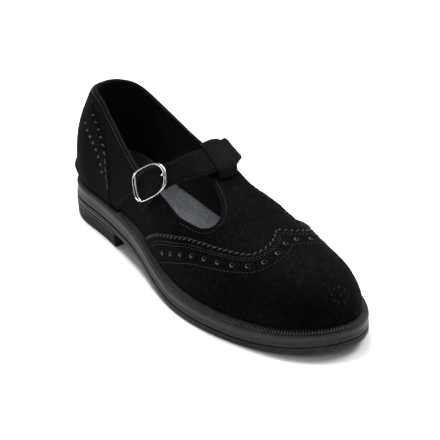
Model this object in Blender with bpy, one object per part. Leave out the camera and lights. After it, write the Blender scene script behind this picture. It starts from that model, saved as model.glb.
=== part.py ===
"""A right-foot brogue shoe with a T-bar and a buckled strap.

The upper is a hollow last-shaped wall, worked out from the length, the ball width, the instep and the
heel height. Every panel, strap and welt follows the same surface function. The shoe points along +X,
its medial (big toe) side is +Y, and it stands on Z = 0.
"""

import math

import bmesh
import bpy
import numpy as np
from mathutils.geometry import delaunay_2d_cdt

# Driving sizes, in metres
LENGTH = 0.256
BALL_WIDTH = 0.095
HEEL_HEIGHT = 0.0104
HEEL_LENGTH = 0.062
SOLE_SIDE = 0.0132
OUTSOLE = 0.0039
TOE_SPRING = 0.0067
INSTEP = 0.0625
COLLAR_HEIGHT = 0.088
TOE_ROUND = 0.078
HEEL_ROUND = 0.033
TOE_DROP = 0.034

# Walls, steps and clearances
GAP = 0.0003
WALL = 0.0018
PANEL_LIFT = 0.0006
FOOT_LIFT = 0.0004
PANEL = 0.0010
COUNTER_PANEL = 0.0016
STRAP_THICK = 0.0021
STRAP_LIFT = 0.0019
LOOP_THICK = 0.0014
INSOLE_THICK = 0.0025
INSOLE_CLEAR = 0.0012

# Sole side: groove over the outsole, rounded rim and the grooves of the heel
GROOVE_DEPTH = 0.0009
GROOVE_HEIGHT = 0.0008
RIM_ROUND = 0.0012
SIDE_DENT = 0.0005
HEEL_GROOVES = 3
HEEL_GROOVE_DEPTH = 0.0007
HEEL_GROOVE_HEIGHT = 0.0008
HEEL_TUCK = 0.0010
SOLE_EDGE_ROUND = 0.0010

# Ribbed welt
WELT_START = 0.0655
WELT_OUT = 0.0008
WELT_EDGE = 0.0012
WELT_RISE = 0.0030
RIB_PITCH = 0.0032
RIB_DEPTH = 0.0006
RIB_START = 0.096
WELT_CLEAR = 0.0005

# How far the upper stands in from the sole's edge
TIP_IN = 0.0052
BACK_IN = 0.0034
TUCK = 0.0014
TUCK_HEIGHT = 0.011
HEEL_BULGE = 0.0022
HEEL_BULGE_HEIGHT = 0.055
FAN = 0.062
HEEL_ARC = 0.078

# T-bar, strap and loop
BAR_END = 0.1165
LOOP_HALF = 0.0082
COLLAR_DROP = 0.0016
PANEL_CLEAR = 0.0006
COLLAR_CLEAR = 2.0
PANEL_FOOT = 0.0014

# Buckle
BUCKLE_WIDE = 0.0215
BUCKLE_LONG = 0.0320
BUCKLE_BAR = 0.0024
BUCKLE_THICK = 0.0016
BUCKLE_CORNER = 0.0088
BUCKLE_TURN = 40.0
PRONG_THICK = 0.0013

# Mesh fineness
STATIONS = 42
SHEET_STEP = 0.0070
EDGE_STEP = 0.0052
NEAR_BORDER = 0.5
SEAM_NEAR = 1e-6
SEAM_DEGREES = 0.5
NORMAL_STEP = 0.0004
NORMAL_TURN = 0.6

# Plan of the sole's edge: share of LENGTH, then centre, lateral half and medial half in BALL_WIDTH
PLAN = (
    (0.00, 0.030, 0.275, 0.290),
    (0.13, 0.030, 0.275, 0.290),
    (0.25, 0.010, 0.300, 0.305),
    (0.38, -0.010, 0.355, 0.330),
    (0.52, -0.020, 0.446, 0.430),
    (0.65, -0.020, 0.480, 0.500),
    (0.77, -0.005, 0.458, 0.500),
    (0.90, 0.035, 0.465, 0.490),
    (1.00, 0.080, 0.480, 0.420),
)

# Underside: share of LENGTH, share of HEEL_HEIGHT, share of TOE_SPRING
UNDERSIDE = (
    (0.00, 1.00, 0.0),
    (0.24, 1.00, 0.0),
    (0.31, 0.97, 0.0),
    (0.38, 0.80, 0.0),
    (0.44, 0.50, 0.0),
    (0.50, 0.22, 0.0),
    (0.56, 0.04, 0.0),
    (0.60, 0.00, 0.0),
    (0.77, 0.00, 0.0),
    (0.84, 0.00, 0.13),
    (0.92, 0.00, 0.45),
    (1.00, 0.00, 1.00),
)

# Side of the sole: share of LENGTH, share of SOLE_SIDE
SIDE_HEIGHT = (
    (0.00, 1.045),
    (0.25, 1.040),
    (0.45, 0.985),
    (0.60, 0.965),
    (1.00, 0.965),
)

# Welt left outside the upper: share of LENGTH, share of TIP_IN
WELT_WIDTH = (
    (0.00, 0.56),
    (0.16, 0.56),
    (0.27, 0.62),
    (0.43, 0.84),
    (0.58, 1.04),
    (1.00, 1.04),
)

# Ridge of the last: share of LENGTH, height over the welt in INSTEP, sideways place in BALL_WIDTH,
# and how square the section is
RIDGE = (
    (0.00, 1.440, 0.040, 2.6),
    (0.24, 1.440, 0.042, 2.6),
    (0.33, 1.295, 0.047, 2.6),
    (0.42, 1.140, 0.063, 2.6),
    (0.50, 1.000, 0.068, 2.5),
    (0.58, 0.864, 0.063, 2.4),
    (0.66, 0.752, 0.053, 2.35),
    (0.74, 0.656, 0.053, 2.3),
    (0.82, 0.568, 0.053, 2.3),
    (0.90, 0.496, 0.063, 2.25),
    (1.00, 0.432, 0.080, 2.2),
)

# Topline of each side, from the back to the front of the throat: place along the shoe in LENGTH
# and height above the floor in COLLAR_HEIGHT
TOPLINE_LATERAL = (
    (-0.060, 1.015),
    (0.020, 1.030),
    (0.077, 1.030),
    (0.163, 0.948),
    (0.245, 0.857),
    (0.288, 0.803),
    (0.333, 0.751),
    (0.390, 0.715),
    (0.460, 0.675),
)
TOPLINE_MEDIAL = (
    (-0.060, 1.015),
    (0.030, 0.985),
    (0.115, 0.920),
    (0.180, 0.870),
    (0.255, 0.825),
    (0.320, 0.785),
    (0.390, 0.735),
    (0.460, 0.675),
)

# Front of the throat and side of the T-bar: place in LENGTH and angle off the ridge in degrees
THROAT = (
    (0.524, 51.0),
    (0.556, 47.6),
    (0.598, 43.0),
    (0.620, 37.0),
    (0.622, 30.0),
    (0.610, 24.0),
    (0.588, 19.5),
    (0.551, 16.6),
    (0.512, 14.5),
    (0.475, 12.0),
)

# Edge of the wing tip, from the lateral sole over the peak to the medial sole
WING_EDGE = (
    (0.385, -89.0),
    (0.414, -84.4),
    (0.472, -72.4),
    (0.531, -62.8),
    (0.591, -53.6),
    (0.641, -48.0),
    (0.689, -42.8),
    (0.725, -38.0),
    (0.752, -31.6),
    (0.759, -23.2),
    (0.752, -12.0),
    (0.728, -2.0),
    (0.743, 8.4),
    (0.750, 24.0),
    (0.742, 34.0),
    (0.709, 44.4),
    (0.680, 50.0),
    (0.620, 60.0),
    (0.550, 70.0),
    (0.480, 80.0),
    (0.430, 89.0),
)

# Front edge of the counter, from the topline to the sole: place in LENGTH and angle off the ridge
COUNTER_EDGE = (
    (0.045, 41.0),
    (0.058, 49.2),
    (0.070, 53.2),
    (0.095, 56.4),
    (0.133, 59.6),
    (0.164, 63.2),
    (0.186, 66.8),
    (0.198, 71.6),
    (0.208, 80.0),
    (0.212, 89.5),
)

# Front edge of the quarter, from the sole up to the strap
QUARTER_EDGE = (
    (0.242, 89.5),
    (0.258, 86.8),
    (0.275, 84.0),
    (0.310, 78.0),
    (0.347, 71.6),
    (0.385, 65.5),
    (0.410, 61.5),
    (0.425, 58.0),
)

# Strap: edge nearer the heel and edge nearer the toe, from the buckle over the ridge to the medial side
STRAP_BACK = (
    (0.345, -65.5),
    (0.392, -51.5),
    (0.418, -43.5),
    (0.439, -35.6),
    (0.450, -27.0),
    (0.457, -19.0),
    (0.461, -10.0),
    (0.462, 0.0),
    (0.457, 14.0),
    (0.445, 27.0),
    (0.424, 40.0),
    (0.392, 54.0),
    (0.362, 66.0),
)
STRAP_FRONT = (
    (0.396, -71.5),
    (0.436, -57.6),
    (0.453, -51.2),
    (0.468, -45.4),
    (0.486, -37.2),
    (0.500, -29.0),
    (0.513, -20.0),
    (0.521, -10.0),
    (0.523, 0.0),
    (0.516, 14.0),
    (0.500, 28.0),
    (0.477, 41.0),
    (0.446, 55.0),
    (0.416, 69.0),
)
BUCKLE_PLACE = (0.4155, -53.5)

# Loop over the strap: place in LENGTH and share of the way up from the T-bar to over the strap
LOOP_PATH = (
    (0.572, 0.0),
    (0.552, 0.0),
    (0.546, 0.30),
    (0.539, 0.85),
    (0.530, 1.0),
    (0.495, 1.0),
    (0.458, 1.0),
)

LATERAL = -1.0
MEDIAL = 1.0


def column(rows, index):
    """One column of a section table."""
    return np.array([row[index] for row in rows], float)


def spline(places, values):
    """A smooth curve through a table's points, held level past its ends."""
    count = len(places)
    span = np.diff(places)
    system = np.eye(count)
    wanted = np.zeros(count)
    for i in range(1, count - 1):
        system[i, i - 1:i + 2] = span[i - 1], 2 * (span[i - 1] + span[i]), span[i]
        rise_after = (values[i + 1] - values[i]) / span[i]
        rise_before = (values[i] - values[i - 1]) / span[i - 1]
        wanted[i] = 6 * (rise_after - rise_before)
    bend = np.linalg.solve(system, wanted)

    def value(place):
        place = np.clip(np.asarray(place, float), places[0], places[-1])
        i = np.clip(np.searchsorted(places, place) - 1, 0, count - 2)
        after = place - places[i]
        before = places[i + 1] - place
        cubic = (bend[i] * before ** 3 + bend[i + 1] * after ** 3) / (6 * span[i])
        start = (values[i] / span[i] - bend[i] * span[i] / 6) * before
        end = (values[i + 1] / span[i] - bend[i + 1] * span[i] / 6) * after
        return cubic + start + end

    return value


def steady(places, values):
    """A smooth curve through a table's points that never overshoots them."""
    span = np.diff(places)
    rise = np.diff(values) / span
    slope = np.zeros(len(places))
    for i in range(1, len(places) - 1):
        if rise[i - 1] * rise[i] > 0:
            slope[i] = 2 * rise[i - 1] * rise[i] / (rise[i - 1] + rise[i])
    slope[-1] = rise[-1]

    def value(place):
        place = np.clip(np.asarray(place, float), places[0], places[-1])
        i = np.clip(np.searchsorted(places, place) - 1, 0, len(places) - 2)
        t = (place - places[i]) / span[i]
        start = values[i] * (1 + 2 * t) * (1 - t) ** 2 + slope[i] * span[i] * t * (1 - t) ** 2
        end = values[i + 1] * t ** 2 * (3 - 2 * t) - slope[i + 1] * span[i] * t ** 2 * (1 - t)
        return start + end

    return value


plan_centre = spline(column(PLAN, 0) * LENGTH, column(PLAN, 1) * BALL_WIDTH)
plan_lateral = spline(column(PLAN, 0) * LENGTH, column(PLAN, 2) * BALL_WIDTH)
plan_medial = spline(column(PLAN, 0) * LENGTH, column(PLAN, 3) * BALL_WIDTH)
underside = steady(
    column(UNDERSIDE, 0) * LENGTH,
    column(UNDERSIDE, 1) * HEEL_HEIGHT + column(UNDERSIDE, 2) * TOE_SPRING,
)
side_height = steady(column(SIDE_HEIGHT, 0) * LENGTH, column(SIDE_HEIGHT, 1) * SOLE_SIDE)
welt_width = steady(column(WELT_WIDTH, 0) * LENGTH, column(WELT_WIDTH, 1) * TIP_IN)
ridge_height = spline(column(RIDGE, 0) * LENGTH, column(RIDGE, 1) * INSTEP)
ridge_side = spline(column(RIDGE, 0) * LENGTH, column(RIDGE, 2) * BALL_WIDTH)
section_power = steady(column(RIDGE, 0) * LENGTH, column(RIDGE, 3))


def sole_top(x):
    """Height of the sole's upper edge."""
    return underside(x) + side_height(x)


def round_end(past, reach, power):
    """How much of a width is left this far into a rounded end."""
    share = np.clip(past / reach, 0, 1)
    return (1 - share ** power) ** (1 / power)


def half_width(side, x, inset=0.0, tip_in=0.0, back_in=0.0):
    """Half the plan's width on one side, for an outline that stands in from the sole's edge."""
    width = np.where(np.asarray(side) < 0, plan_lateral(x), plan_medial(x)) - inset
    toe = round_end(x - (LENGTH - TOE_ROUND), TOE_ROUND - tip_in, 2.0)
    heel = round_end(HEEL_ROUND - x, HEEL_ROUND - back_in, 2.3)
    return width * toe * heel


def ladder(inset=0.0, count=STATIONS, start=0.0, end=LENGTH):
    """Stations of an outline, closer together at its ends, as x and the two sides' y."""
    low = max(start, inset)
    high = min(end, LENGTH - inset)
    turn_low = 0.0 if start <= 0 else math.pi / 2
    turn = np.linspace(turn_low, math.pi if end >= LENGTH else math.pi / 2, count)
    share = (np.cos(turn[0]) - np.cos(turn)) / (np.cos(turn[0]) - np.cos(turn[-1]))
    x = low + (high - low) * share
    lateral = plan_centre(x) - half_width(LATERAL, x, inset, inset, inset)
    medial = plan_centre(x) + half_width(MEDIAL, x, inset, inset, inset)
    return x, lateral, medial


def heel_outline():
    """The upper's plan round the heel on each side, as x, y and share of the way from the back."""
    outline = {}
    turn = np.linspace(0, math.pi / 2, 240)
    x = FAN - (FAN - BACK_IN) * np.cos(turn)
    for side in (LATERAL, MEDIAL):
        y = plan_centre(x) + side * half_width(side, x, welt_width(x), TIP_IN, BACK_IN)
        way = np.concatenate([[0.0], np.cumsum(np.hypot(np.diff(x), np.diff(y)))])
        outline[side] = (x, y, way / way[-1])
    return outline


HEEL_OUTLINE = heel_outline()
TIP = LENGTH - TIP_IN
DOME = TIP - TOE_DROP
BACK_PLACE = FAN - HEEL_ARC
TIP_PLACE = DOME + TOE_DROP * math.pi / 2


def along(place):
    """Turns a place on the surface into x: they differ only over the toe's dome."""
    past = np.clip((place - DOME) / TOE_DROP, 0, math.pi / 2)
    return np.where(place > DOME, DOME + TOE_DROP * np.sin(past), place)


def last_point(place, angle):
    """The last's surface. Place runs along the shoe and round the heel, and angle runs from -90
    at the lateral welt over 0 at the ridge to 90 at the medial welt."""
    place, angle = np.broadcast_arrays(np.asarray(place, float), np.asarray(angle, float))
    side = np.where(angle < 0, LATERAL, MEDIAL)
    station = along(place)
    share = np.clip((place - BACK_PLACE) / (FAN - BACK_PLACE), 0, 1)
    heel_x = np.interp(share, HEEL_OUTLINE[LATERAL][2], HEEL_OUTLINE[LATERAL][0])
    heel_lateral = np.interp(share, HEEL_OUTLINE[LATERAL][2], HEEL_OUTLINE[LATERAL][1])
    medial_x = np.interp(share, HEEL_OUTLINE[MEDIAL][2], HEEL_OUTLINE[MEDIAL][0])
    heel_medial = np.interp(share, HEEL_OUTLINE[MEDIAL][2], HEEL_OUTLINE[MEDIAL][1])
    heel_x = np.where(side < 0, heel_x, medial_x)
    heel_y = np.where(side < 0, heel_lateral, heel_medial)
    front = np.maximum(station, FAN)
    edge_x = np.where(station >= FAN, station, heel_x)
    welt = welt_width(front)
    front_y = plan_centre(front) + side * half_width(side, front, welt, TIP_IN, BACK_IN)
    edge_y = np.where(station >= FAN, front_y, heel_y)
    dome = round_end(front - DOME, TOE_DROP, 2.0)
    ridge_y = plan_centre(front) + (ridge_side(front) - plan_centre(front)) * dome
    foot = sole_top(edge_x) + FOOT_LIFT
    height = ridge_height(front) * dome + sole_top(front) + FOOT_LIFT - foot
    turn = np.radians(90 - np.abs(angle))
    power = section_power(edge_x)
    reach = (np.cos(turn) ** power + np.sin(turn) ** power) ** (-1 / power)
    out = reach * np.cos(turn)
    up = height * reach * np.sin(turn)
    dx = edge_x - front
    dy = edge_y - ridge_y
    away = np.hypot(dx, dy) + 1e-9
    tucked = TUCK * np.clip(1 - up / TUCK_HEIGHT, 0, 1) ** 2 * np.clip(height / (2 * TUCK_HEIGHT), 0, 1)
    bulge = HEEL_BULGE * np.sin(math.pi * np.clip(up / HEEL_BULGE_HEIGHT, 0, 1))
    bulge = bulge * np.clip(1 - edge_x / (2 * FAN), 0, 1)
    shift = (bulge - tucked * out) / away
    return np.stack([front + dx * (out + shift), ridge_y + dy * (out + shift), foot + up], -1)


def last_normal(place, angle):
    """The direction straight out of the last's surface."""
    place, angle = np.broadcast_arrays(np.asarray(place, float), np.asarray(angle, float))
    near = np.minimum(place, TIP_PLACE - 2 * NORMAL_STEP)
    before = near - NORMAL_STEP
    past_seam = before < BACK_PLACE
    behind = last_point(
        np.where(past_seam, 2 * BACK_PLACE - before, before), np.where(past_seam, -angle, angle)
    )
    ahead = last_point(near + NORMAL_STEP, angle)
    low = last_point(near, np.clip(angle - NORMAL_TURN, -90, 90))
    high = last_point(near, np.clip(angle + NORMAL_TURN, -90, 90))
    normal = np.cross(ahead - behind, high - low)
    size = np.linalg.norm(normal, axis=-1, keepdims=True)
    normal = normal / np.maximum(size, 1e-15)
    at_tip = (place > TIP_PLACE - SEAM_NEAR)[..., None]
    return np.where(at_tip, np.array([1.0, 0.0, 0.0]), normal)


def offset_point(place, angle, lift):
    """A point this far outside the last's surface."""
    place = np.asarray(place, float)
    angle = np.asarray(angle, float)
    return last_point(place, angle) + last_normal(place, angle) * np.asarray(lift)[..., None]


def angle_at_height(side, place, height):
    """The signed angle off the ridge at which the surface has this height above the floor."""
    place, height, side = np.broadcast_arrays(np.asarray(place, float), height, side)
    low, high = np.zeros(place.shape), np.full(place.shape, 90.0)
    for _ in range(32):
        middle = (low + high) / 2
        above = last_point(place, side * middle)[..., 2] > height
        low = np.where(above, middle, low)
        high = np.where(above, high, middle)
    return side * (low + high) / 2


def clear_scene():
    """Removes whatever the scene holds."""
    for obj in list(bpy.data.objects):
        bpy.data.objects.remove(obj, do_unlink=True)


def finish(name, color, roughness, metallic=0.0):
    """A plain Principled material."""
    material = bpy.data.materials.new(name)
    material.use_nodes = True
    shader = material.node_tree.nodes["Principled BSDF"]
    shader.inputs["Base Color"].default_value = (*color, 1.0)
    shader.inputs["Roughness"].default_value = roughness
    shader.inputs["Metallic"].default_value = metallic
    return material


def add_object(name, points, faces, material):
    """One closed piece from its points and faces, turned to face outwards."""
    mesh = bpy.data.meshes.new(name)
    mesh.from_pydata([tuple(map(float, p)) for p in points], [], [tuple(map(int, f)) for f in faces])
    shape = bmesh.new()
    shape.from_mesh(mesh)
    bmesh.ops.remove_doubles(shape, verts=shape.verts, dist=1e-6)
    bmesh.ops.dissolve_degenerate(shape, edges=shape.edges, dist=1e-7)
    bmesh.ops.recalc_face_normals(shape, faces=shape.faces)
    if shape.calc_volume(signed=True) < 0:
        bmesh.ops.reverse_faces(shape, faces=shape.faces)
    shape.to_mesh(mesh)
    shape.free()
    mesh.materials.append(material)
    mesh.shade_smooth()
    mesh.set_sharp_from_angle(angle=math.radians(35))
    obj = bpy.data.objects.new(name, mesh)
    bpy.context.scene.collection.objects.link(obj)
    return obj


def strips(rings):
    """Quads between rings of equal length, each ring closed."""
    faces = []
    count = len(rings[0])
    for level in range(len(rings) - 1):
        for i in range(count):
            j = (i + 1) % count
            faces.append((level * count + i, level * count + j, (level + 1) * count + j, (level + 1) * count + i))
    return faces


def outline_ring(inset, height, start=0.0, end=LENGTH, count=STATIONS):
    """A closed ring of points: out along the lateral side and back along the medial one."""
    x, lateral, medial = ladder(inset, count, start, end)
    z = np.broadcast_to(height(x), x.shape)
    out = np.stack([x, lateral, z], 1)
    back = np.stack([x, medial, z], 1)[::-1]
    return np.concatenate([out, back])


def ladder_caps(first, count):
    """Quads across a ring made of two facing rows of points."""
    return [(first + i, first + i + 1, first + 2 * count - 2 - i, first + 2 * count - 1 - i)
            for i in range(count - 1)]


def layered(name, levels, material, start=0.0, end=LENGTH, count=STATIONS):
    """A solid from rings given as (inset, height function), lowest first."""
    rings = [outline_ring(inset, height, start, end, count) for inset, height in levels]
    points = np.concatenate(rings)
    top = (len(rings) - 1) * 2 * count
    faces = strips(rings) + ladder_caps(0, count) + ladder_caps(top, count)
    return add_object(name, points, faces, material)


def make_outsole(material):
    """The outsole's layer, from the heel's seat to the toe, its lower edge slightly rounded."""
    levels = (
        (SOLE_EDGE_ROUND, lambda x: underside(x)),
        (0.0, lambda x: underside(x) + SOLE_EDGE_ROUND),
        (0.0, lambda x: underside(x) + OUTSOLE),
    )
    return layered("outsole", levels, material)


def make_midsole(material):
    """The smooth side of the sole: a groove at its foot, a shallow dent and a rounded rim."""
    foot = OUTSOLE + GAP
    levels = (
        (GROOVE_DEPTH, lambda x: underside(x) + foot),
        (GROOVE_DEPTH, lambda x: underside(x) + foot + GROOVE_HEIGHT),
        (0.0, lambda x: underside(x) + foot + GROOVE_HEIGHT * 1.6),
        (SIDE_DENT, lambda x: underside(x) + (foot + side_height(x)) / 2),
        (0.0, lambda x: sole_top(x) - RIM_ROUND * 1.6),
        (RIM_ROUND * 0.3, lambda x: sole_top(x) - RIM_ROUND * 0.5),
        (RIM_ROUND, lambda x: sole_top(x)),
    )
    return layered("midsole", levels, material)


def make_heel_block(material):
    """The stacked heel under the outsole, with its grooves and an upright breast."""
    top = HEEL_HEIGHT - GAP
    pitch = top / (HEEL_GROOVES + 1)
    levels = [(HEEL_TUCK + SOLE_EDGE_ROUND, 0.0), (HEEL_TUCK, SOLE_EDGE_ROUND)]
    for i in range(1, HEEL_GROOVES + 1):
        middle = i * pitch
        tuck = HEEL_TUCK * (1 - i / (HEEL_GROOVES + 1))
        levels.append((tuck, middle - HEEL_GROOVE_HEIGHT / 2))
        levels.append((tuck + HEEL_GROOVE_DEPTH, middle - HEEL_GROOVE_HEIGHT / 2 * 0.6))
        levels.append((tuck + HEEL_GROOVE_DEPTH, middle + HEEL_GROOVE_HEIGHT / 2 * 0.6))
        levels.append((tuck, middle + HEEL_GROOVE_HEIGHT / 2))
    levels.append((0.0, top))
    rings = []
    for inset, height in levels:
        turn = np.linspace(0, math.pi / 2, 18)
        x = inset + (HEEL_LENGTH - inset) * (1 - np.cos(turn))
        lateral = plan_centre(x) - half_width(LATERAL, x, inset, inset, inset)
        medial = plan_centre(x) + half_width(MEDIAL, x, inset, inset, inset)
        z = np.full(len(x), height)
        out = np.stack([x, lateral, z], 1)
        back = np.stack([x, medial, z], 1)[::-1]
        rings.append(np.concatenate([out, back]))
    top_ring = (len(rings) - 1) * 36
    faces = strips(rings) + ladder_caps(0, 18) + ladder_caps(top_ring, 18)
    return add_object("heel_block", np.concatenate(rings), faces, material)


def welt_stations():
    """Places round the welt from the lateral waist over the toe to the medial waist, a rib apart."""
    turn = np.linspace(0, math.pi / 2, 600)
    x = WELT_START + (LENGTH - WELT_START) * np.sin(turn)
    lateral = np.stack([x, np.full(len(x), LATERAL)], 1)
    medial = np.stack([x, np.full(len(x), MEDIAL)], 1)[::-1]
    route = np.concatenate([lateral, medial[1:]])
    y = plan_centre(route[:, 0]) + route[:, 1] * half_width(route[:, 1], route[:, 0])
    way = np.concatenate([[0.0], np.cumsum(np.hypot(np.diff(route[:, 0]), np.diff(y)))])
    count = 2 * int(way[-1] / RIB_PITCH)
    wanted = np.linspace(0, way[-1], count + 1)
    signed = np.interp(wanted, way, np.concatenate([x - LENGTH, (LENGTH - x[::-1])[1:]]))
    return LENGTH - np.abs(signed), np.where(signed < 0, LATERAL, MEDIAL)


def welt_row(x, side, inset, lift):
    """A row of points along the welt, this far in from the sole's edge and over its top."""
    share = (x - WELT_START) / (LENGTH - WELT_START)
    pulled = np.minimum(x, LENGTH - inset * share ** 8)
    y = plan_centre(pulled) + side * half_width(side, pulled, inset, inset, 0.0)
    return np.stack([pulled, y, sole_top(pulled) + lift], 1)


def make_welt(material):
    """The ribbed welt on the sole's edge, raised where it meets the upper."""
    x, side = welt_stations()
    share = (x - WELT_START) / (LENGTH - WELT_START)
    beside = WELT_START + (TIP - WELT_START) * share
    past = np.arcsin(np.clip((beside - DOME) / TOE_DROP, 0, 1))
    place = np.where(beside > DOME, DOME + TOE_DROP * past, beside)
    crest_angle = angle_at_height(side, place, sole_top(beside) + WELT_RISE)
    crest = offset_point(place, np.where(crest_angle * side > 0, crest_angle, side * 1e-6), WELT_CLEAR)
    foot = offset_point(place, side * 90.0, WELT_CLEAR)
    even = np.arange(len(x)) % 2 == 0
    rib = np.where((x > RIB_START) & even, RIB_DEPTH, 0.0)
    crest[:, 2] = sole_top(beside) + WELT_RISE - rib * 0.6
    foot[:, 2] = sole_top(beside) + GAP
    rows = (
        welt_row(x, side, np.full(len(x), WELT_OUT), GAP),
        welt_row(x, side, WELT_OUT + rib * 0.5, WELT_EDGE - rib),
        crest,
        foot,
    )
    count = len(x)
    points = np.concatenate(rows)
    faces = []
    for row in range(4):
        beside = (row + 1) % 4
        for i in range(count - 1):
            faces.append((row * count + i, row * count + i + 1, beside * count + i + 1, beside * count + i))
    faces.append(tuple(row * count for row in range(4)))
    faces.append(tuple(row * count + count - 1 for row in reversed(range(4))))
    return add_object("welt", points, faces, material)


def make_insole(material):
    """The insole inside the upper, resting on the sole."""
    def inner_inset(x):
        return welt_width(x) + TUCK + WALL + INSOLE_CLEAR
    count = 34
    turn = np.linspace(0, math.pi, count)
    back = BACK_IN + TUCK + WALL + INSOLE_CLEAR
    front = TIP - TUCK - WALL - INSOLE_CLEAR
    x = back + (front - back) * (1 - np.cos(turn)) / 2
    toe_in = LENGTH - front
    lateral = plan_centre(x) - half_width(LATERAL, x, inner_inset(x), toe_in, back)
    medial = plan_centre(x) + half_width(MEDIAL, x, inner_inset(x), toe_in, back)
    rings = []
    for lift in (GAP, GAP + INSOLE_THICK):
        out = np.stack([x, lateral, sole_top(x) + lift], 1)
        home = np.stack([x, medial, sole_top(x) + lift], 1)[::-1]
        rings.append(np.concatenate([out, home]))
    faces = strips(rings) + ladder_caps(0, count) + ladder_caps(2 * count, count)
    return add_object("insole", np.concatenate(rings), faces, material)


FLAT_PER_DEGREE = 0.00088


def flat(place, angle):
    """A point of the surface on the flat drawing in which panels are cut."""
    return (float(place), float(angle) * FLAT_PER_DEGREE)


def spaced(points, step):
    """The same closed outline with points this far apart at most."""
    result = []
    for i, start in enumerate(points):
        end = points[(i + 1) % len(points)]
        length = math.dist(start, end)
        pieces = max(1, round(length / step))
        for k in range(pieces):
            share = k / pieces
            result.append((start[0] + (end[0] - start[0]) * share, start[1] + (end[1] - start[1]) * share))
    return result


def inside(point, outline):
    """Whether a point of the drawing lies inside an outline."""
    crossings = False
    x, y = point
    for i, (x1, y1) in enumerate(outline):
        x2, y2 = outline[i - 1]
        if (y1 > y) != (y2 > y) and x < (x2 - x1) * (y - y1) / (y2 - y1) + x1:
            crossings = not crossings
    return crossings


def seam_key(place, angle, index):
    """A name that points share where the drawing closes on itself: at the back seam and the tip."""
    if place < BACK_PLACE + SEAM_NEAR:
        return "back", round(abs(angle) / SEAM_DEGREES)
    if place > TIP_PLACE - SEAM_NEAR:
        return "tip", 0
    return "own", index


def sheet(name, outline, low, high, material, step=SHEET_STEP, edge=EDGE_STEP):
    """A wall with the last's curve, cut to an outline, between two distances from the surface."""
    border = spaced([flat(*p) for p in outline], edge)
    border_array = np.array(border)
    points = list(border)
    rise = step * math.sqrt(3) / 2
    first_row, last_row = (math.floor(y / rise) for y in (border_array[:, 1].min(), border_array[:, 1].max()))
    first, last = (math.floor(x / step) for x in (border_array[:, 0].min(), border_array[:, 0].max()))
    for row in range(first_row, last_row + 2):
        for k in range(first - 1, last + 2):
            x, y = (k + (row % 2) / 2) * step, row * rise
            near = np.hypot(border_array[:, 0] - x, border_array[:, 1] - y).min()
            if near > NEAR_BORDER * step and inside((x, y), border):
                points.append((x, y))
    edges = [(i, (i + 1) % len(border)) for i in range(len(border))]
    verts, _, triangles, _, _, _ = delaunay_2d_cdt(points, edges, [], 0, 1e-7)
    kept = []
    for triangle in triangles:
        middle = sum((np.array(verts[i]) for i in triangle), np.zeros(2)) / 3
        if inside(middle, border):
            kept.append(tuple(triangle))
    drawn = np.array([tuple(v) for v in verts])
    place = drawn[:, 0]
    angle = np.clip(drawn[:, 1] / FLAT_PER_DEGREE, -90, 90)
    outer = offset_point(place, angle, np.full(len(drawn), high))
    inner = offset_point(place, angle, np.full(len(drawn), low))
    keys = {}
    same = [keys.setdefault(seam_key(p, a, i), i) for i, (p, a) in enumerate(zip(place, angle))]
    count = len(drawn)
    faces = []
    used = {}
    for triangle in kept:
        a, b, c = (same[i] for i in triangle)
        if len({a, b, c}) < 3:
            continue
        faces.append((a, b, c))
        faces.append((count + c, count + b, count + a))
        for pair in ((a, b), (b, c), (c, a)):
            used[pair] = used.get(pair, 0) + 1
    for a, b in used:
        if (b, a) not in used:
            faces.append((b, a, count + a, count + b))
    return add_object(name, np.concatenate([outer, inner]), faces, material)


collar_height = {
    LATERAL: steady(column(TOPLINE_LATERAL, 0) * LENGTH, column(TOPLINE_LATERAL, 1) * COLLAR_HEIGHT),
    MEDIAL: steady(column(TOPLINE_MEDIAL, 0) * LENGTH, column(TOPLINE_MEDIAL, 1) * COLLAR_HEIGHT),
}


def topline(side, places, drop=0.0):
    """The collar's edge on one side at these places, or a line this far below it."""
    angles = angle_at_height(side, places, collar_height[side](places) - drop)
    return list(zip(places, angles))


def foot_line(side, places, lift):
    """A line along the foot of the upper, this far above the sole's edge."""
    angles = angle_at_height(side, places, sole_top(along(places)) + lift)
    return list(zip(places, angles))


def edge_line(rows, side=1.0):
    """A table of places and angles as an outline on one side."""
    return [(place * LENGTH, side * angle) for place, angle in rows]


def below_collar(side, line):
    """The points of an edge line that lie under the collar's edge on this side."""
    edge = topline(side, np.array([place for place, _ in line]), COLLAR_DROP)
    return [point for point, (_, top) in zip(line, edge) if abs(point[1]) > abs(top) + COLLAR_CLEAR]


def upper_outline():
    """The edge of the upper: feather line, collar, throat and T-bar."""
    feather = np.concatenate([np.linspace(BACK_PLACE, DOME, 40), np.linspace(DOME, TIP_PLACE, 10)[1:]])
    collar = np.linspace(BACK_PLACE, TOPLINE_MEDIAL[-1][0] * LENGTH, 20)
    outline = [(place, -90.0) for place in feather]
    outline += [(place, 90.0) for place in feather[::-1]]
    outline += topline(MEDIAL, collar)
    outline += edge_line(THROAT)
    outline += [(BAR_END, THROAT[-1][1]), (BAR_END, -THROAT[-1][1])]
    outline += edge_line(THROAT, LATERAL)[::-1]
    outline += topline(LATERAL, collar[:0:-1])
    outline.append((BACK_PLACE, -outline[len(feather) * 2][1]))
    return outline


def make_upper(material):
    """The hollow upper, open underneath, at the collar and at both sides of the T-bar."""
    return sheet("upper", upper_outline(), -WALL, 0.0, material)


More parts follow.
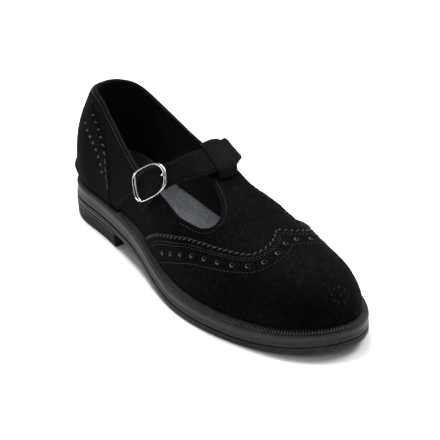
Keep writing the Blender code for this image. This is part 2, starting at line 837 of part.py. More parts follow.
def make_wing_tip(material):
    """The wing tip over the toe: a second layer that starts just above the welt."""
    lift = WELT_RISE + 2 * GAP
    crest = edge_line(WING_EDGE)[1:-1]
    lateral = foot_line(LATERAL, np.linspace(WING_EDGE[0][0] * LENGTH, DOME, 18), lift)
    medial = foot_line(MEDIAL, np.linspace(WING_EDGE[-1][0] * LENGTH, DOME, 18), lift)
    front = np.linspace(DOME, TIP_PLACE, 600)[1:]
    meeting = front[last_point(front, 0.0)[:, 2] > sole_top(along(front)) + lift][-1]
    high = DOME + (meeting - DOME) * np.sin(np.linspace(0, math.pi / 2, 16))[1:-1]
    tip = foot_line(LATERAL, high, lift) + [(meeting, 0.0)] + foot_line(MEDIAL, high[::-1], lift)
    return sheet("wing_tip", lateral + tip + medial[::-1] + crest[::-1], PANEL_LIFT, PANEL_LIFT + PANEL, material)


def make_counter(material):
    """The heel counter, lapped over both quarters."""
    outline = []
    top = COUNTER_EDGE[0][0] * LENGTH
    low = COUNTER_EDGE[-1][0] * LENGTH
    for side, turn in ((LATERAL, 1), (MEDIAL, -1)):
        foot = foot_line(side, np.linspace(BACK_PLACE, low, 18), PANEL_FOOT)
        crest = topline(side, np.linspace(top, BACK_PLACE, 14), COLLAR_DROP)
        edge = below_collar(side, edge_line(COUNTER_EDGE[1:-1], side))
        outline += (foot + edge[::-1] + crest)[::turn]
    return sheet("heel_counter", outline, PANEL_LIFT, PANEL_LIFT + COUNTER_PANEL, material)


def make_quarter(name, side, material):
    """One quarter, from under the counter's edge to its own front edge under the strap."""
    seam = [(place + PANEL_CLEAR, angle) for place, angle in edge_line(COUNTER_EDGE, side)]
    front = edge_line(QUARTER_EDGE, side)
    foot = foot_line(side, np.linspace(seam[-1][0], front[0][0], 6), PANEL_FOOT)
    crest = topline(side, np.linspace(front[-1][0], seam[0][0], 18), COLLAR_DROP)
    seam = below_collar(side, seam[1:-1])
    return sheet(name, foot + front[1:] + crest + seam, PANEL_LIFT, PANEL_LIFT + PANEL, material)


def make_strap(material):
    """The strap from the medial quarter over the T-bar to the buckle."""
    outline = edge_line(STRAP_FRONT) + edge_line(STRAP_BACK)[::-1]
    return sheet("strap", outline, STRAP_LIFT, STRAP_LIFT + STRAP_THICK, material)


def rounded_section(wide, thick):
    """A flat strip's cross-section with rounded edges, as offsets across and through it."""
    half = wide / 2
    edge = thick / 2
    points = []
    for turn in np.linspace(-math.pi / 2, math.pi / 2, 5):
        points.append((half - edge + edge * math.cos(turn), edge * math.sin(turn)))
    for turn in np.linspace(math.pi / 2, 3 * math.pi / 2, 5):
        points.append((-half + edge + edge * math.cos(turn), edge * math.sin(turn)))
    return points


def swept(name, centres, across, through, section, material, closed=False):
    """A section carried along a path, with the directions across and through it at each point."""
    rings = []
    for middle, side, out in zip(centres, across, through):
        rings.append(np.array([middle + side * u + out * v for u, v in section]))
    faces = strips(rings + rings[:1]) if closed else strips(rings)
    if closed:
        whole = len(rings) * len(section)
        faces = [tuple(i % whole for i in face) for face in faces]
    else:
        count = len(section)
        faces.append(tuple(reversed(range(count))))
        faces.append(tuple(range((len(rings) - 1) * count, len(rings) * count)))
    return add_object(name, np.concatenate(rings), faces, material)


def make_loop(material):
    """The end of the T-bar, folded back over the strap and sewn down in front of it."""
    low = GAP + LOOP_THICK / 2
    high = STRAP_LIFT + STRAP_THICK + GAP + LOOP_THICK / 2
    behind = BAR_END - GAP - LOOP_THICK / 2
    path = [(place * LENGTH, low + (high - low) * rise) for place, rise in LOOP_PATH]
    path += [(behind + LOOP_THICK * 0.5, high * 0.8), (behind, high * 0.45), (behind, -WALL)]
    place = np.array([p for p, _ in path])
    lift = np.array([h for _, h in path])
    middle = offset_point(place, np.zeros(len(path)), lift)
    heading = np.gradient(middle, axis=0)
    heading /= np.linalg.norm(heading, axis=1, keepdims=True)
    across = np.tile([0.0, 1.0, 0.0], (len(path), 1))
    across -= heading * (heading @ [0.0, 1.0, 0.0])[:, None]
    across /= np.linalg.norm(across, axis=1, keepdims=True)
    through = np.cross(heading, across)
    return swept("bar_loop", middle, across, through, rounded_section(2 * LOOP_HALF, LOOP_THICK), material)


def buckle_frame_axes():
    """The buckle's middle, its direction along the strap, across it, and out of the shoe."""
    place, angle = BUCKLE_PLACE[0] * LENGTH, BUCKLE_PLACE[1]
    lift = STRAP_LIFT + STRAP_THICK + GAP + BUCKLE_THICK / 2
    middle = offset_point(place, angle, lift)
    out = last_normal(place, angle)
    forward = np.array([1.0, 0.0, 0.0]) - out * out[0]
    forward /= np.linalg.norm(forward)
    upward = np.cross(out, forward)
    if upward[2] < 0:
        upward = -upward
    turn = math.radians(BUCKLE_TURN)
    along_strap = forward * math.cos(turn) + upward * math.sin(turn)
    across = np.cross(out, along_strap)
    return middle, along_strap, across, out


def rounded_loop(long, wide, corner, per_corner=6):
    """A rounded rectangle as points and outward directions."""
    points = []
    for k, (sx, sy) in enumerate(((1, 1), (-1, 1), (-1, -1), (1, -1))):
        for turn in np.linspace(0, math.pi / 2, per_corner):
            angle = turn + k * math.pi / 2
            middle = (sx * (long / 2 - corner), sy * (wide / 2 - corner))
            way = (math.cos(angle), math.sin(angle))
            points.append(((middle[0] + corner * way[0], middle[1] + corner * way[1]), way))
    return points


def make_buckle(material):
    """The buckle: a rounded frame with a middle bar, in one piece."""
    middle, ahead, across, out = buckle_frame_axes()
    route = rounded_loop(BUCKLE_LONG - BUCKLE_BAR, BUCKLE_WIDE - BUCKLE_BAR, BUCKLE_CORNER - BUCKLE_BAR / 2)
    section = rounded_section(BUCKLE_BAR, BUCKLE_THICK)
    centres = [middle + ahead * p[0] + across * p[1] for p, _ in route]
    sides = [ahead * w[0] + across * w[1] for _, w in route]
    frame = swept("buckle_frame", centres, sides, [out] * len(route), section, material, closed=True)
    reach = BUCKLE_WIDE / 2 - BUCKLE_BAR / 2
    ends = [middle + across * -reach, middle + across * reach]
    bar = swept("buckle_bar", ends, [ahead] * 2, [out] * 2,
                rounded_section(BUCKLE_BAR * 0.8, BUCKLE_THICK * 0.8), material)
    join = frame.modifiers.new("middle bar", "BOOLEAN")
    join.operation = "UNION"
    join.object = bar
    bar.hide_render = True
    bar.display_type = "WIRE"
    return frame


def make_prong(material):
    """The prong, from the middle bar over the frame's front bar."""
    middle, ahead, across, out = buckle_frame_axes()
    rise = BUCKLE_THICK / 2 + GAP + PRONG_THICK / 2
    start = middle + ahead * BUCKLE_BAR * -0.5 + out * rise
    end = middle + ahead * (BUCKLE_LONG / 2 + BUCKLE_BAR * 0.1) + out * rise
    centres = [start, end]
    return swept("buckle_prong", centres, [across] * 2, [out] * 2,
                 rounded_section(PRONG_THICK * 1.6, PRONG_THICK), material)


def stand_at_origin():
    """Moves every piece so that the origin is on the floor under the middle of the shoe's box."""
    meshes = [obj for obj in bpy.data.objects if obj.type == "MESH"]
    corners = np.array([tuple(v.co) for obj in meshes if not obj.hide_render for v in obj.data.vertices])
    low = corners.min(axis=0)
    high = corners.max(axis=0)
    shift = ((low[0] + high[0]) / 2, (low[1] + high[1]) / 2, low[2])
    for obj in meshes:
        for vertex in obj.data.vertices:
            vertex.co.x -= shift[0]
            vertex.co.y -= shift[1]
            vertex.co.z -= shift[2]
        obj.data.update()


def main():
    """Builds the whole shoe."""
    clear_scene()
    suede = finish("black_suede", (0.030, 0.026, 0.028), 0.95)
    panel_suede = finish("panel_suede", (0.036, 0.031, 0.033), 0.95)
    rubber = finish("grey_rubber", (0.055, 0.055, 0.060), 0.55)
    welt_rubber = finish("welt_rubber", (0.075, 0.075, 0.080), 0.5)
    leather = finish("insole_leather", (0.085, 0.095, 0.110), 0.6)
    silver = finish("polished_silver", (0.85, 0.85, 0.86), 0.12, 1.0)
    make_outsole(rubber)
    make_midsole(rubber)
    make_heel_block(rubber)
    make_welt(welt_rubber)
    make_insole(leather)
    make_upper(suede)
    make_wing_tip(panel_suede)
    make_counter(panel_suede)
    make_quarter("quarter_lateral", LATERAL, panel_suede)
    make_quarter("quarter_medial", MEDIAL, panel_suede)
    make_strap(suede)
    make_loop(suede)
    make_buckle(silver)
    make_prong(silver)
    stand_at_origin()


main()
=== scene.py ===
"""Looks of a right-foot T-bar shoe: suede panels with scalloped edges and punched holes, a polished
buckle, a ribbed welt and a rubber sole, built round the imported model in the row's own frame.
"""

import math

import bpy
import numpy as np
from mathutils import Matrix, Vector
from mathutils.geometry import delaunay_2d_cdt


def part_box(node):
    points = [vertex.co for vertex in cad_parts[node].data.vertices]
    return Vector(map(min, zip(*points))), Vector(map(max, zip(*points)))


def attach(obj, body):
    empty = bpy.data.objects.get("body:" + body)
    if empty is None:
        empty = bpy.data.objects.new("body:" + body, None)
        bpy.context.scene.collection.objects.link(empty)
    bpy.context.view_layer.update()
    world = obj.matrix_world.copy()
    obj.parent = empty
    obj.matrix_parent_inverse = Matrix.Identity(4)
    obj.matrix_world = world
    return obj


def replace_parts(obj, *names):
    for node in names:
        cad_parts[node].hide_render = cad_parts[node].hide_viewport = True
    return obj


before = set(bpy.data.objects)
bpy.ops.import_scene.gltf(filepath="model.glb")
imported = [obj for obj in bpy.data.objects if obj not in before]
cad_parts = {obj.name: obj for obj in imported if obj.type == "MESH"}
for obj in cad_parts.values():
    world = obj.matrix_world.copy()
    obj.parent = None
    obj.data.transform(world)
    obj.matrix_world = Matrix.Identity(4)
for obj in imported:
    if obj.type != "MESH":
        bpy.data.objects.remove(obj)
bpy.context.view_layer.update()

# Driving sizes, in metres
LENGTH = 0.256
BALL_WIDTH = 0.095
HEEL_HEIGHT = 0.0104
HEEL_LENGTH = 0.062
SOLE_SIDE = 0.0132
OUTSOLE = 0.0039
TOE_SPRING = 0.0067
INSTEP = 0.0625
COLLAR_HEIGHT = 0.088
TOE_ROUND = 0.078
HEEL_ROUND = 0.033
TOE_DROP = 0.034

# Walls, steps and clearances
GAP = 0.0003
WALL = 0.0018
PANEL_LIFT = 0.0006
FOOT_LIFT = 0.0004
PANEL = 0.0010
COUNTER_PANEL = 0.0016
STRAP_THICK = 0.0021
STRAP_LIFT = 0.0019
LOOP_THICK = 0.0014
INSOLE_THICK = 0.0025
INSOLE_CLEAR = 0.0012

# Sole side: groove over the outsole, rounded rim and the grooves of the heel
GROOVE_DEPTH = 0.0009
GROOVE_HEIGHT = 0.0008
RIM_ROUND = 0.0012
SIDE_DENT = 0.0005
HEEL_GROOVES = 3
HEEL_GROOVE_DEPTH = 0.0007
HEEL_GROOVE_HEIGHT = 0.0008
HEEL_TUCK = 0.0010
SOLE_EDGE_ROUND = 0.0010

# Ribbed welt
WELT_START = 0.0655
WELT_OUT = 0.0008
WELT_EDGE = 0.0012
WELT_RISE = 0.0030
RIB_PITCH = 0.0032
RIB_DEPTH = 0.0006
RIB_START = 0.096
WELT_CLEAR = 0.0005

# How far the upper stands in from the sole's edge
TIP_IN = 0.0052
BACK_IN = 0.0034
TUCK = 0.0014
TUCK_HEIGHT = 0.011
HEEL_BULGE = 0.0022
HEEL_BULGE_HEIGHT = 0.055
FAN = 0.062
HEEL_ARC = 0.078

# T-bar, strap and loop
BAR_END = 0.1165
LOOP_HALF = 0.0082
COLLAR_DROP = 0.0016
PANEL_CLEAR = 0.0006
COLLAR_CLEAR = 2.0
PANEL_FOOT = 0.0014

# Buckle
BUCKLE_WIDE = 0.0215
BUCKLE_LONG = 0.0320
BUCKLE_BAR = 0.0024
BUCKLE_THICK = 0.0016
BUCKLE_CORNER = 0.0088
BUCKLE_TURN = 40.0
PRONG_THICK = 0.0013

# Mesh fineness and looks, in metres
STATIONS = 220
FINE_STEP = 0.0017
FINE_EDGE = 0.0011
NEAR_BORDER = 0.55
SEAM_NEAR = 1e-6
SEAM_DEGREES = 0.5
NORMAL_STEP = 0.0004
NORMAL_TURN = 0.6
FLAT_PER_DEGREE = 0.00088
SKIN = 0.0001
SMOOTH_TURN = 38.0
FOOT_LIMIT = 88.6

# Seams, scallops and punched holes
SCALLOP_PITCH = 0.0038
SCALLOP_DEEP = 0.0017
PINKED_EDGE = 0.0007
CORD_LENGTH = 0.0031
CORD_SLANT = 26.0
CORD_RADIUS = 0.00055
TEETH_START = 9
QUARTER_TRIM = 16
SEAM_FROM = -40.0
CORD_ARCH = 0.00030
COUNTER_CORD_PITCH = 0.0048
LIP_TURN = 100.0
COUNTER_HOLE = 0.0008
COUNTER_IN = 0.0062
COUNTER_HOLE_PITCH = 0.0046
STITCH_PITCH = 0.0025
STITCH_LENGTH = 0.0019
STITCH_RADIUS = 0.00026
STITCH_ARCH = 0.00022
BROGUE_IN = 0.0072
BROGUE_PITCH = 0.0100
LARGE_HOLE = 0.00125
SMALL_HOLE = 0.00060
SMALL_SPREAD = 0.0017
BAND_WIDE = 0.0118
MEDALLION_PLACE = 0.966
MEDALLION_RINGS = ((0.0, 1, 0.0012), (0.0026, 6, 0.0007), (0.0053, 9, 0.0010))

# Finer forms than the solids hold
BINDING_WIDE = 0.0010
BINDING_PROUD = 0.0003
FINE_RIB_PITCH = 0.0019
WELT_UNDER = 0.0007
FINE_RIB_DEPTH = 0.0013
RIB_SAMPLES = 6
FINE_HEEL_GROOVES = 4
LIFT_GROOVE_HALF = 0.00055
LIFT_GROOVE_DEPTH = 0.0013
LOOP_LINE = ((0.540, 0.0), (0.5345, 0.35), (0.5285, 0.85), (0.520, 1.0), (0.495, 1.0), (0.458, 1.0))
HEEL_ROLL = 0.0030
HEEL_ROLL_AT = 85.5
HEEL_ROLL_WIDE = 3.0
HEEL_ROLL_END = 0.05
LOOP_SAG = 0.0009
EDGE_CUP = 0.0011
HEEL_CUP = 0.0090
CUP_WIDE = 0.0042
CUP_FULL = 0.026
CUP_END = 0.066
LOOP_LATERAL = -0.0082
LOOP_MEDIAL = 0.0058
BUCKLE_BEND = 0.0006
HINGE_IN = 0.0044
HINGE_BOW = 0.0016
BUCKLE_THIN = 0.0008
BUCKLE_FRONT_FULL = 2.5
BUCKLE_BACK_FULL = 3.6
HINGE_BAR = 0.0010
PRONG_SHOWN = 0.0058

# Stage: camera at the photograph's angle, lights as azimuth, elevation, distance, size, power
CAMERA_AZIMUTH = 51.7015
CAMERA_ELEVATION = 29.0005
CAMERA_ROLL = -0.0373
CAMERA_DISTANCE = 2.38807
CAMERA_TARGET = (0.10218, 0.02616, 0.01910)
CAMERA_LENS = 311.25
SENSOR = 36.0
FLOOR_REACH = 6.0
WORLD_LIGHT = 0.62
SKY = (
    (0.0, (0.10, 0.10, 0.10)),
    (0.28, (0.20, 0.20, 0.20)),
    (0.50, (0.95, 0.95, 0.95)),
    (0.80, (1.0, 1.0, 1.0)),
    (0.93, (0.25, 0.25, 0.25)),
)
LIGHTS = (
    ("main", 262.0, 66.0, 1.3, (0.7, 0.7), 32.0),
    ("right", 165.0, 50.0, 1.4, (0.7, 0.7), 15.0),
    ("left", 20.0, 35.0, 1.5, (0.7, 0.7), 1.0),
)

# Plan of the sole's edge: share of LENGTH, then centre, lateral half and medial half in BALL_WIDTH
PLAN = (
    (0.00, 0.030, 0.275, 0.290),
    (0.13, 0.030, 0.275, 0.290),
    (0.25, 0.010, 0.300, 0.305),
    (0.38, -0.010, 0.355, 0.330),
    (0.52, -0.020, 0.446, 0.430),
    (0.65, -0.020, 0.480, 0.500),
    (0.77, -0.005, 0.458, 0.500),
    (0.90, 0.035, 0.465, 0.490),
    (1.00, 0.080, 0.480, 0.420),
)

# Underside: share of LENGTH, share of HEEL_HEIGHT, share of TOE_SPRING
UNDERSIDE = (
    (0.00, 1.00, 0.0),
    (0.24, 1.00, 0.0),
    (0.31, 0.97, 0.0),
    (0.38, 0.80, 0.0),
    (0.44, 0.50, 0.0),
    (0.50, 0.22, 0.0),
    (0.56, 0.04, 0.0),
    (0.60, 0.00, 0.0),
    (0.77, 0.00, 0.0),
    (0.84, 0.00, 0.13),
    (0.92, 0.00, 0.45),
    (1.00, 0.00, 1.00),
)

# Side of the sole: share of LENGTH, share of SOLE_SIDE
SIDE_HEIGHT = (
    (0.00, 1.045),
    (0.25, 1.040),
    (0.45, 0.985),
    (0.60, 0.965),
    (1.00, 0.965),
)

# Welt left outside the upper: share of LENGTH, share of TIP_IN
WELT_WIDTH = (
    (0.00, 0.56),
    (0.16, 0.56),
    (0.27, 0.62),
    (0.43, 0.84),
    (0.58, 1.04),
    (1.00, 1.04),
)

# Ridge of the last: share of LENGTH, height over the welt in INSTEP, sideways place in BALL_WIDTH,
# and how square the section is
RIDGE = (
    (0.00, 1.440, 0.040, 2.6),
    (0.24, 1.440, 0.042, 2.6),
    (0.33, 1.295, 0.047, 2.6),
    (0.42, 1.140, 0.063, 2.6),
    (0.50, 1.000, 0.068, 2.5),
    (0.58, 0.864, 0.063, 2.4),
    (0.66, 0.752, 0.053, 2.35),
    (0.74, 0.656, 0.053, 2.3),
    (0.82, 0.568, 0.053, 2.3),
    (0.90, 0.496, 0.063, 2.25),
    (1.00, 0.432, 0.080, 2.2),
)

# Topline of each side, from the back to the front of the throat: place along the shoe in LENGTH
# and height above the floor in COLLAR_HEIGHT
TOPLINE_LATERAL = (
    (-0.060, 1.015),
    (0.020, 1.030),
    (0.077, 1.030),
    (0.163, 0.948),
    (0.245, 0.857),
    (0.288, 0.803),
    (0.333, 0.751),
    (0.390, 0.715),
    (0.460, 0.675),
)
TOPLINE_MEDIAL = (
    (-0.060, 1.015),
    (0.030, 0.985),
    (0.115, 0.920),
    (0.180, 0.870),
    (0.255, 0.825),
    (0.320, 0.785),
    (0.390, 0.735),
    (0.460, 0.675),
)

# Front of the throat and side of the T-bar: place in LENGTH and angle off the ridge in degrees
THROAT = (
    (0.524, 51.0),
    (0.556, 47.6),
    (0.598, 43.0),
    (0.620, 37.0),
    (0.622, 30.0),
    (0.610, 24.0),
    (0.588, 19.5),
    (0.551, 16.6),
    (0.512, 14.5),
    (0.475, 12.0),
)

# Edge of the wing tip, from the lateral sole over the peak to the medial sole
WING_EDGE = (
    (0.385, -89.0),
    (0.414, -84.4),
    (0.472, -72.4),
    (0.531, -62.8),
    (0.591, -53.6),
    (0.641, -48.0),
    (0.689, -42.8),
    (0.725, -38.0),
    (0.752, -31.6),
    (0.759, -23.2),
    (0.752, -12.0),
    (0.728, -2.0),
    (0.743, 8.4),
    (0.750, 24.0),
    (0.742, 34.0),
    (0.709, 44.4),
    (0.680, 50.0),
    (0.620, 60.0),
    (0.550, 70.0),
    (0.480, 80.0),
    (0.430, 89.0),
)

# Front edge of the counter, from the topline to the sole: place in LENGTH and angle off the ridge
COUNTER_EDGE = (
    (0.045, 41.0),
    (0.058, 49.2),
    (0.070, 53.2),
    (0.095, 56.4),
    (0.133, 59.6),
    (0.164, 63.2),
    (0.186, 66.8),
    (0.198, 71.6),
    (0.208, 80.0),
    (0.212, 89.5),
)

# Front edge of the quarter, from the sole up to the strap
QUARTER_EDGE = (
    (0.242, 89.5),
    (0.258, 86.8),
    (0.275, 84.0),
    (0.310, 78.0),
    (0.347, 71.6),
    (0.385, 65.5),
    (0.410, 61.5),
    (0.425, 58.0),
)

# Strap: edge nearer the heel and edge nearer the toe, from the buckle over the ridge to the medial side
STRAP_BACK = (
    (0.345, -65.5),
    (0.392, -51.5),
    (0.418, -43.5),
    (0.439, -35.6),
    (0.450, -27.0),
    (0.457, -19.0),
    (0.461, -10.0),
    (0.462, 0.0),
    (0.457, 14.0),
    (0.445, 27.0),
    (0.424, 40.0),
    (0.392, 54.0),
    (0.362, 66.0),
)
STRAP_FRONT = (
    (0.396, -71.5),
    (0.436, -57.6),
    (0.453, -51.2),
    (0.468, -45.4),
    (0.486, -37.2),
    (0.500, -29.0),
    (0.513, -20.0),
    (0.521, -10.0),
    (0.523, 0.0),
    (0.516, 14.0),
    (0.500, 28.0),
    (0.477, 41.0),
    (0.446, 55.0),
    (0.416, 69.0),
)
BUCKLE_PLACE = (0.4155, -53.5)

# Loop over the strap: place in LENGTH and share of the way up from the T-bar to over the strap
LOOP_PATH = (
    (0.572, 0.0),
    (0.552, 0.0),
    (0.546, 0.30),
    (0.539, 0.85),
    (0.530, 1.0),
    (0.495, 1.0),
    (0.458, 1.0),
)

LATERAL = -1.0
MEDIAL = 1.0


def column(rows, index):
    """One column of a section table."""
    return np.array([row[index] for row in rows], float)


def spline(places, values):
    """A smooth curve through a table's points, held level past its ends."""
    count = len(places)
    span = np.diff(places)
    system = np.eye(count)
    wanted = np.zeros(count)
    for i in range(1, count - 1):
        system[i, i - 1:i + 2] = span[i - 1], 2 * (span[i - 1] + span[i]), span[i]
        rise_after = (values[i + 1] - values[i]) / span[i]
        rise_before = (values[i] - values[i - 1]) / span[i - 1]
        wanted[i] = 6 * (rise_after - rise_before)
    bend = np.linalg.solve(system, wanted)

    def value(place):
        place = np.clip(np.asarray(place, float), places[0], places[-1])
        i = np.clip(np.searchsorted(places, place) - 1, 0, count - 2)
        after = place - places[i]
        before = places[i + 1] - place
        cubic = (bend[i] * before ** 3 + bend[i + 1] * after ** 3) / (6 * span[i])
        start = (values[i] / span[i] - bend[i] * span[i] / 6) * before
        end = (values[i + 1] / span[i] - bend[i + 1] * span[i] / 6) * after
        return cubic + start + end

    return value


def steady(places, values):
    """A smooth curve through a table's points that never overshoots them."""
    span = np.diff(places)
    rise = np.diff(values) / span
    slope = np.zeros(len(places))
    for i in range(1, len(places) - 1):
        if rise[i - 1] * rise[i] > 0:
            slope[i] = 2 * rise[i - 1] * rise[i] / (rise[i - 1] + rise[i])
    slope[-1] = rise[-1]

    def value(place):
        place = np.clip(np.asarray(place, float), places[0], places[-1])
        i = np.clip(np.searchsorted(places, place) - 1, 0, len(places) - 2)
        t = (place - places[i]) / span[i]
        start = values[i] * (1 + 2 * t) * (1 - t) ** 2 + slope[i] * span[i] * t * (1 - t) ** 2
        end = values[i + 1] * t ** 2 * (3 - 2 * t) - slope[i + 1] * span[i] * t ** 2 * (1 - t)
        return start + end

    return value


plan_centre = spline(column(PLAN, 0) * LENGTH, column(PLAN, 1) * BALL_WIDTH)
plan_lateral = spline(column(PLAN, 0) * LENGTH, column(PLAN, 2) * BALL_WIDTH)
plan_medial = spline(column(PLAN, 0) * LENGTH, column(PLAN, 3) * BALL_WIDTH)
underside = steady(
    column(UNDERSIDE, 0) * LENGTH,
    column(UNDERSIDE, 1) * HEEL_HEIGHT + column(UNDERSIDE, 2) * TOE_SPRING,
)
side_height = steady(column(SIDE_HEIGHT, 0) * LENGTH, column(SIDE_HEIGHT, 1) * SOLE_SIDE)
welt_width = steady(column(WELT_WIDTH, 0) * LENGTH, column(WELT_WIDTH, 1) * TIP_IN)
ridge_height = spline(column(RIDGE, 0) * LENGTH, column(RIDGE, 1) * INSTEP)
ridge_side = spline(column(RIDGE, 0) * LENGTH, column(RIDGE, 2) * BALL_WIDTH)
section_power = steady(column(RIDGE, 0) * LENGTH, column(RIDGE, 3))


def sole_top(x):
    """Height of the sole's upper edge."""
    return underside(x) + side_height(x)


def round_end(past, reach, power):
    """How much of a width is left this far into a rounded end."""
    share = np.clip(past / reach, 0, 1)
    return (1 - share ** power) ** (1 / power)


def half_width(side, x, inset=0.0, tip_in=0.0, back_in=0.0):
    """Half the plan's width on one side, for an outline that stands in from the sole's edge."""
    width = np.where(np.asarray(side) < 0, plan_lateral(x), plan_medial(x)) - inset
    toe = round_end(x - (LENGTH - TOE_ROUND), TOE_ROUND - tip_in, 2.0)
    heel = round_end(HEEL_ROUND - x, HEEL_ROUND - back_in, 2.3)
    return width * toe * heel


def ladder(inset=0.0, count=STATIONS, start=0.0, end=LENGTH):
    """Stations of an outline, closer together at its ends, as x and the two sides' y."""
    low = max(start, inset)
    high = min(end, LENGTH - inset)
    turn_low = 0.0 if start <= 0 else math.pi / 2
    turn = np.linspace(turn_low, math.pi if end >= LENGTH else math.pi / 2, count)
    share = (np.cos(turn[0]) - np.cos(turn)) / (np.cos(turn[0]) - np.cos(turn[-1]))
    x = low + (high - low) * share
    lateral = plan_centre(x) - half_width(LATERAL, x, inset, inset, inset)
    medial = plan_centre(x) + half_width(MEDIAL, x, inset, inset, inset)
    return x, lateral, medial


def heel_outline():
    """The upper's plan round the heel on each side, as x, y and share of the way from the back."""
    outline = {}
    turn = np.linspace(0, math.pi / 2, 240)
    x = FAN - (FAN - BACK_IN) * np.cos(turn)
    for side in (LATERAL, MEDIAL):
        y = plan_centre(x) + side * half_width(side, x, welt_width(x), TIP_IN, BACK_IN)
        way = np.concatenate([[0.0], np.cumsum(np.hypot(np.diff(x), np.diff(y)))])
        outline[side] = (x, y, way / way[-1])
    return outline


HEEL_OUTLINE = heel_outline()
TIP = LENGTH - TIP_IN
DOME = TIP - TOE_DROP
BACK_PLACE = FAN - HEEL_ARC
TIP_PLACE = DOME + TOE_DROP * math.pi / 2


def along(place):
    """Turns a place on the surface into x: they differ only over the toe's dome."""
    past = np.clip((place - DOME) / TOE_DROP, 0, math.pi / 2)
    return np.where(place > DOME, DOME + TOE_DROP * np.sin(past), place)


def last_point(place, angle):
    """The last's surface. Place runs along the shoe and round the heel, and angle runs from -90
    at the lateral welt over 0 at the ridge to 90 at the medial welt."""
    place, angle = np.broadcast_arrays(np.asarray(place, float), np.asarray(angle, float))
    side = np.where(angle < 0, LATERAL, MEDIAL)
    station = along(place)
    share = np.clip((place - BACK_PLACE) / (FAN - BACK_PLACE), 0, 1)
    heel_x = np.interp(share, HEEL_OUTLINE[LATERAL][2], HEEL_OUTLINE[LATERAL][0])
    heel_lateral = np.interp(share, HEEL_OUTLINE[LATERAL][2], HEEL_OUTLINE[LATERAL][1])
    medial_x = np.interp(share, HEEL_OUTLINE[MEDIAL][2], HEEL_OUTLINE[MEDIAL][0])
    heel_medial = np.interp(share, HEEL_OUTLINE[MEDIAL][2], HEEL_OUTLINE[MEDIAL][1])
    heel_x = np.where(side < 0, heel_x, medial_x)
    heel_y = np.where(side < 0, heel_lateral, heel_medial)
    front = np.maximum(station, FAN)
    edge_x = np.where(station >= FAN, station, heel_x)
    welt = welt_width(front)
    front_y = plan_centre(front) + side * half_width(side, front, welt, TIP_IN, BACK_IN)
    edge_y = np.where(station >= FAN, front_y, heel_y)
    dome = round_end(front - DOME, TOE_DROP, 2.0)
    ridge_y = plan_centre(front) + (ridge_side(front) - plan_centre(front)) * dome
    foot = sole_top(edge_x) + FOOT_LIFT
    height = ridge_height(front) * dome + sole_top(front) + FOOT_LIFT - foot
    turn = np.radians(90 - np.abs(angle))
    power = section_power(edge_x)
    reach = (np.cos(turn) ** power + np.sin(turn) ** power) ** (-1 / power)
    out = reach * np.cos(turn)
    up = height * reach * np.sin(turn)
    dx = edge_x - front
    dy = edge_y - ridge_y
    away = np.hypot(dx, dy) + 1e-9
    tucked = TUCK * np.clip(1 - up / TUCK_HEIGHT, 0, 1) ** 2 * np.clip(height / (2 * TUCK_HEIGHT), 0, 1)
    bulge = HEEL_BULGE * np.sin(math.pi * np.clip(up / HEEL_BULGE_HEIGHT, 0, 1))
    bulge = bulge * np.clip(1 - edge_x / (2 * FAN), 0, 1)
    shift = (bulge - tucked * out) / away
    return np.stack([front + dx * (out + shift), ridge_y + dy * (out + shift), foot + up], -1)


def last_normal(place, angle):
    """The direction straight out of the last's surface."""
    place, angle = np.broadcast_arrays(np.asarray(place, float), np.asarray(angle, float))
    near = np.minimum(place, TIP_PLACE - 2 * NORMAL_STEP)
    before = near - NORMAL_STEP
    past_seam = before < BACK_PLACE
    behind = last_point(
        np.where(past_seam, 2 * BACK_PLACE - before, before), np.where(past_seam, -angle, angle)
    )
    ahead = last_point(near + NORMAL_STEP, angle)
    low = last_point(near, np.clip(angle - NORMAL_TURN, -90, 90))
    high = last_point(near, np.clip(angle + NORMAL_TURN, -90, 90))
    normal = np.cross(ahead - behind, high - low)
    size = np.linalg.norm(normal, axis=-1, keepdims=True)
    normal = normal / np.maximum(size, 1e-15)
    at_tip = (place > TIP_PLACE - SEAM_NEAR)[..., None]
    return np.where(at_tip, np.array([1.0, 0.0, 0.0]), normal)


def offset_point(place, angle, lift):
    """A point this far outside the last's surface."""
    place = np.asarray(place, float)
    angle = np.asarray(angle, float)
    return last_point(place, angle) + last_normal(place, angle) * np.asarray(lift)[..., None]


def angle_at_height(side, place, height):
    """The signed angle off the ridge at which the surface has this height above the floor."""
    place, height, side = np.broadcast_arrays(np.asarray(place, float), height, side)
    low, high = np.zeros(place.shape), np.full(place.shape, 90.0)
    for _ in range(32):
        middle = (low + high) / 2
        above = last_point(place, side * middle)[..., 2] > height
        low = np.where(above, middle, low)
        high = np.where(above, high, middle)
    return side * (low + high) / 2


collar_height = {
    LATERAL: steady(column(TOPLINE_LATERAL, 0) * LENGTH, column(TOPLINE_LATERAL, 1) * COLLAR_HEIGHT),
    MEDIAL: steady(column(TOPLINE_MEDIAL, 0) * LENGTH, column(TOPLINE_MEDIAL, 1) * COLLAR_HEIGHT),
}


def strips(rings):
    """Quads between rings of equal length, each ring closed."""
    faces = []
    count = len(rings[0])
    for level in range(len(rings) - 1):
        for i in range(count):
            j = (i + 1) % count
            faces.append((level * count + i, level * count + j, (level + 1) * count + j, (level + 1) * count + i))
    return faces


def outline_ring(inset, height, start=0.0, end=LENGTH, count=STATIONS):
    """A closed ring of points: out along the lateral side and back along the medial one."""
    x, lateral, medial = ladder(inset, count, start, end)
    z = np.broadcast_to(height(x), x.shape)
    out = np.stack([x, lateral, z], 1)
    back = np.stack([x, medial, z], 1)[::-1]
    return np.concatenate([out, back])


def ladder_caps(first, count):
    """Quads across a ring made of two facing rows of points."""
    return [(first + i, first + i + 1, first + 2 * count - 2 - i, first + 2 * count - 1 - i)
            for i in range(count - 1)]


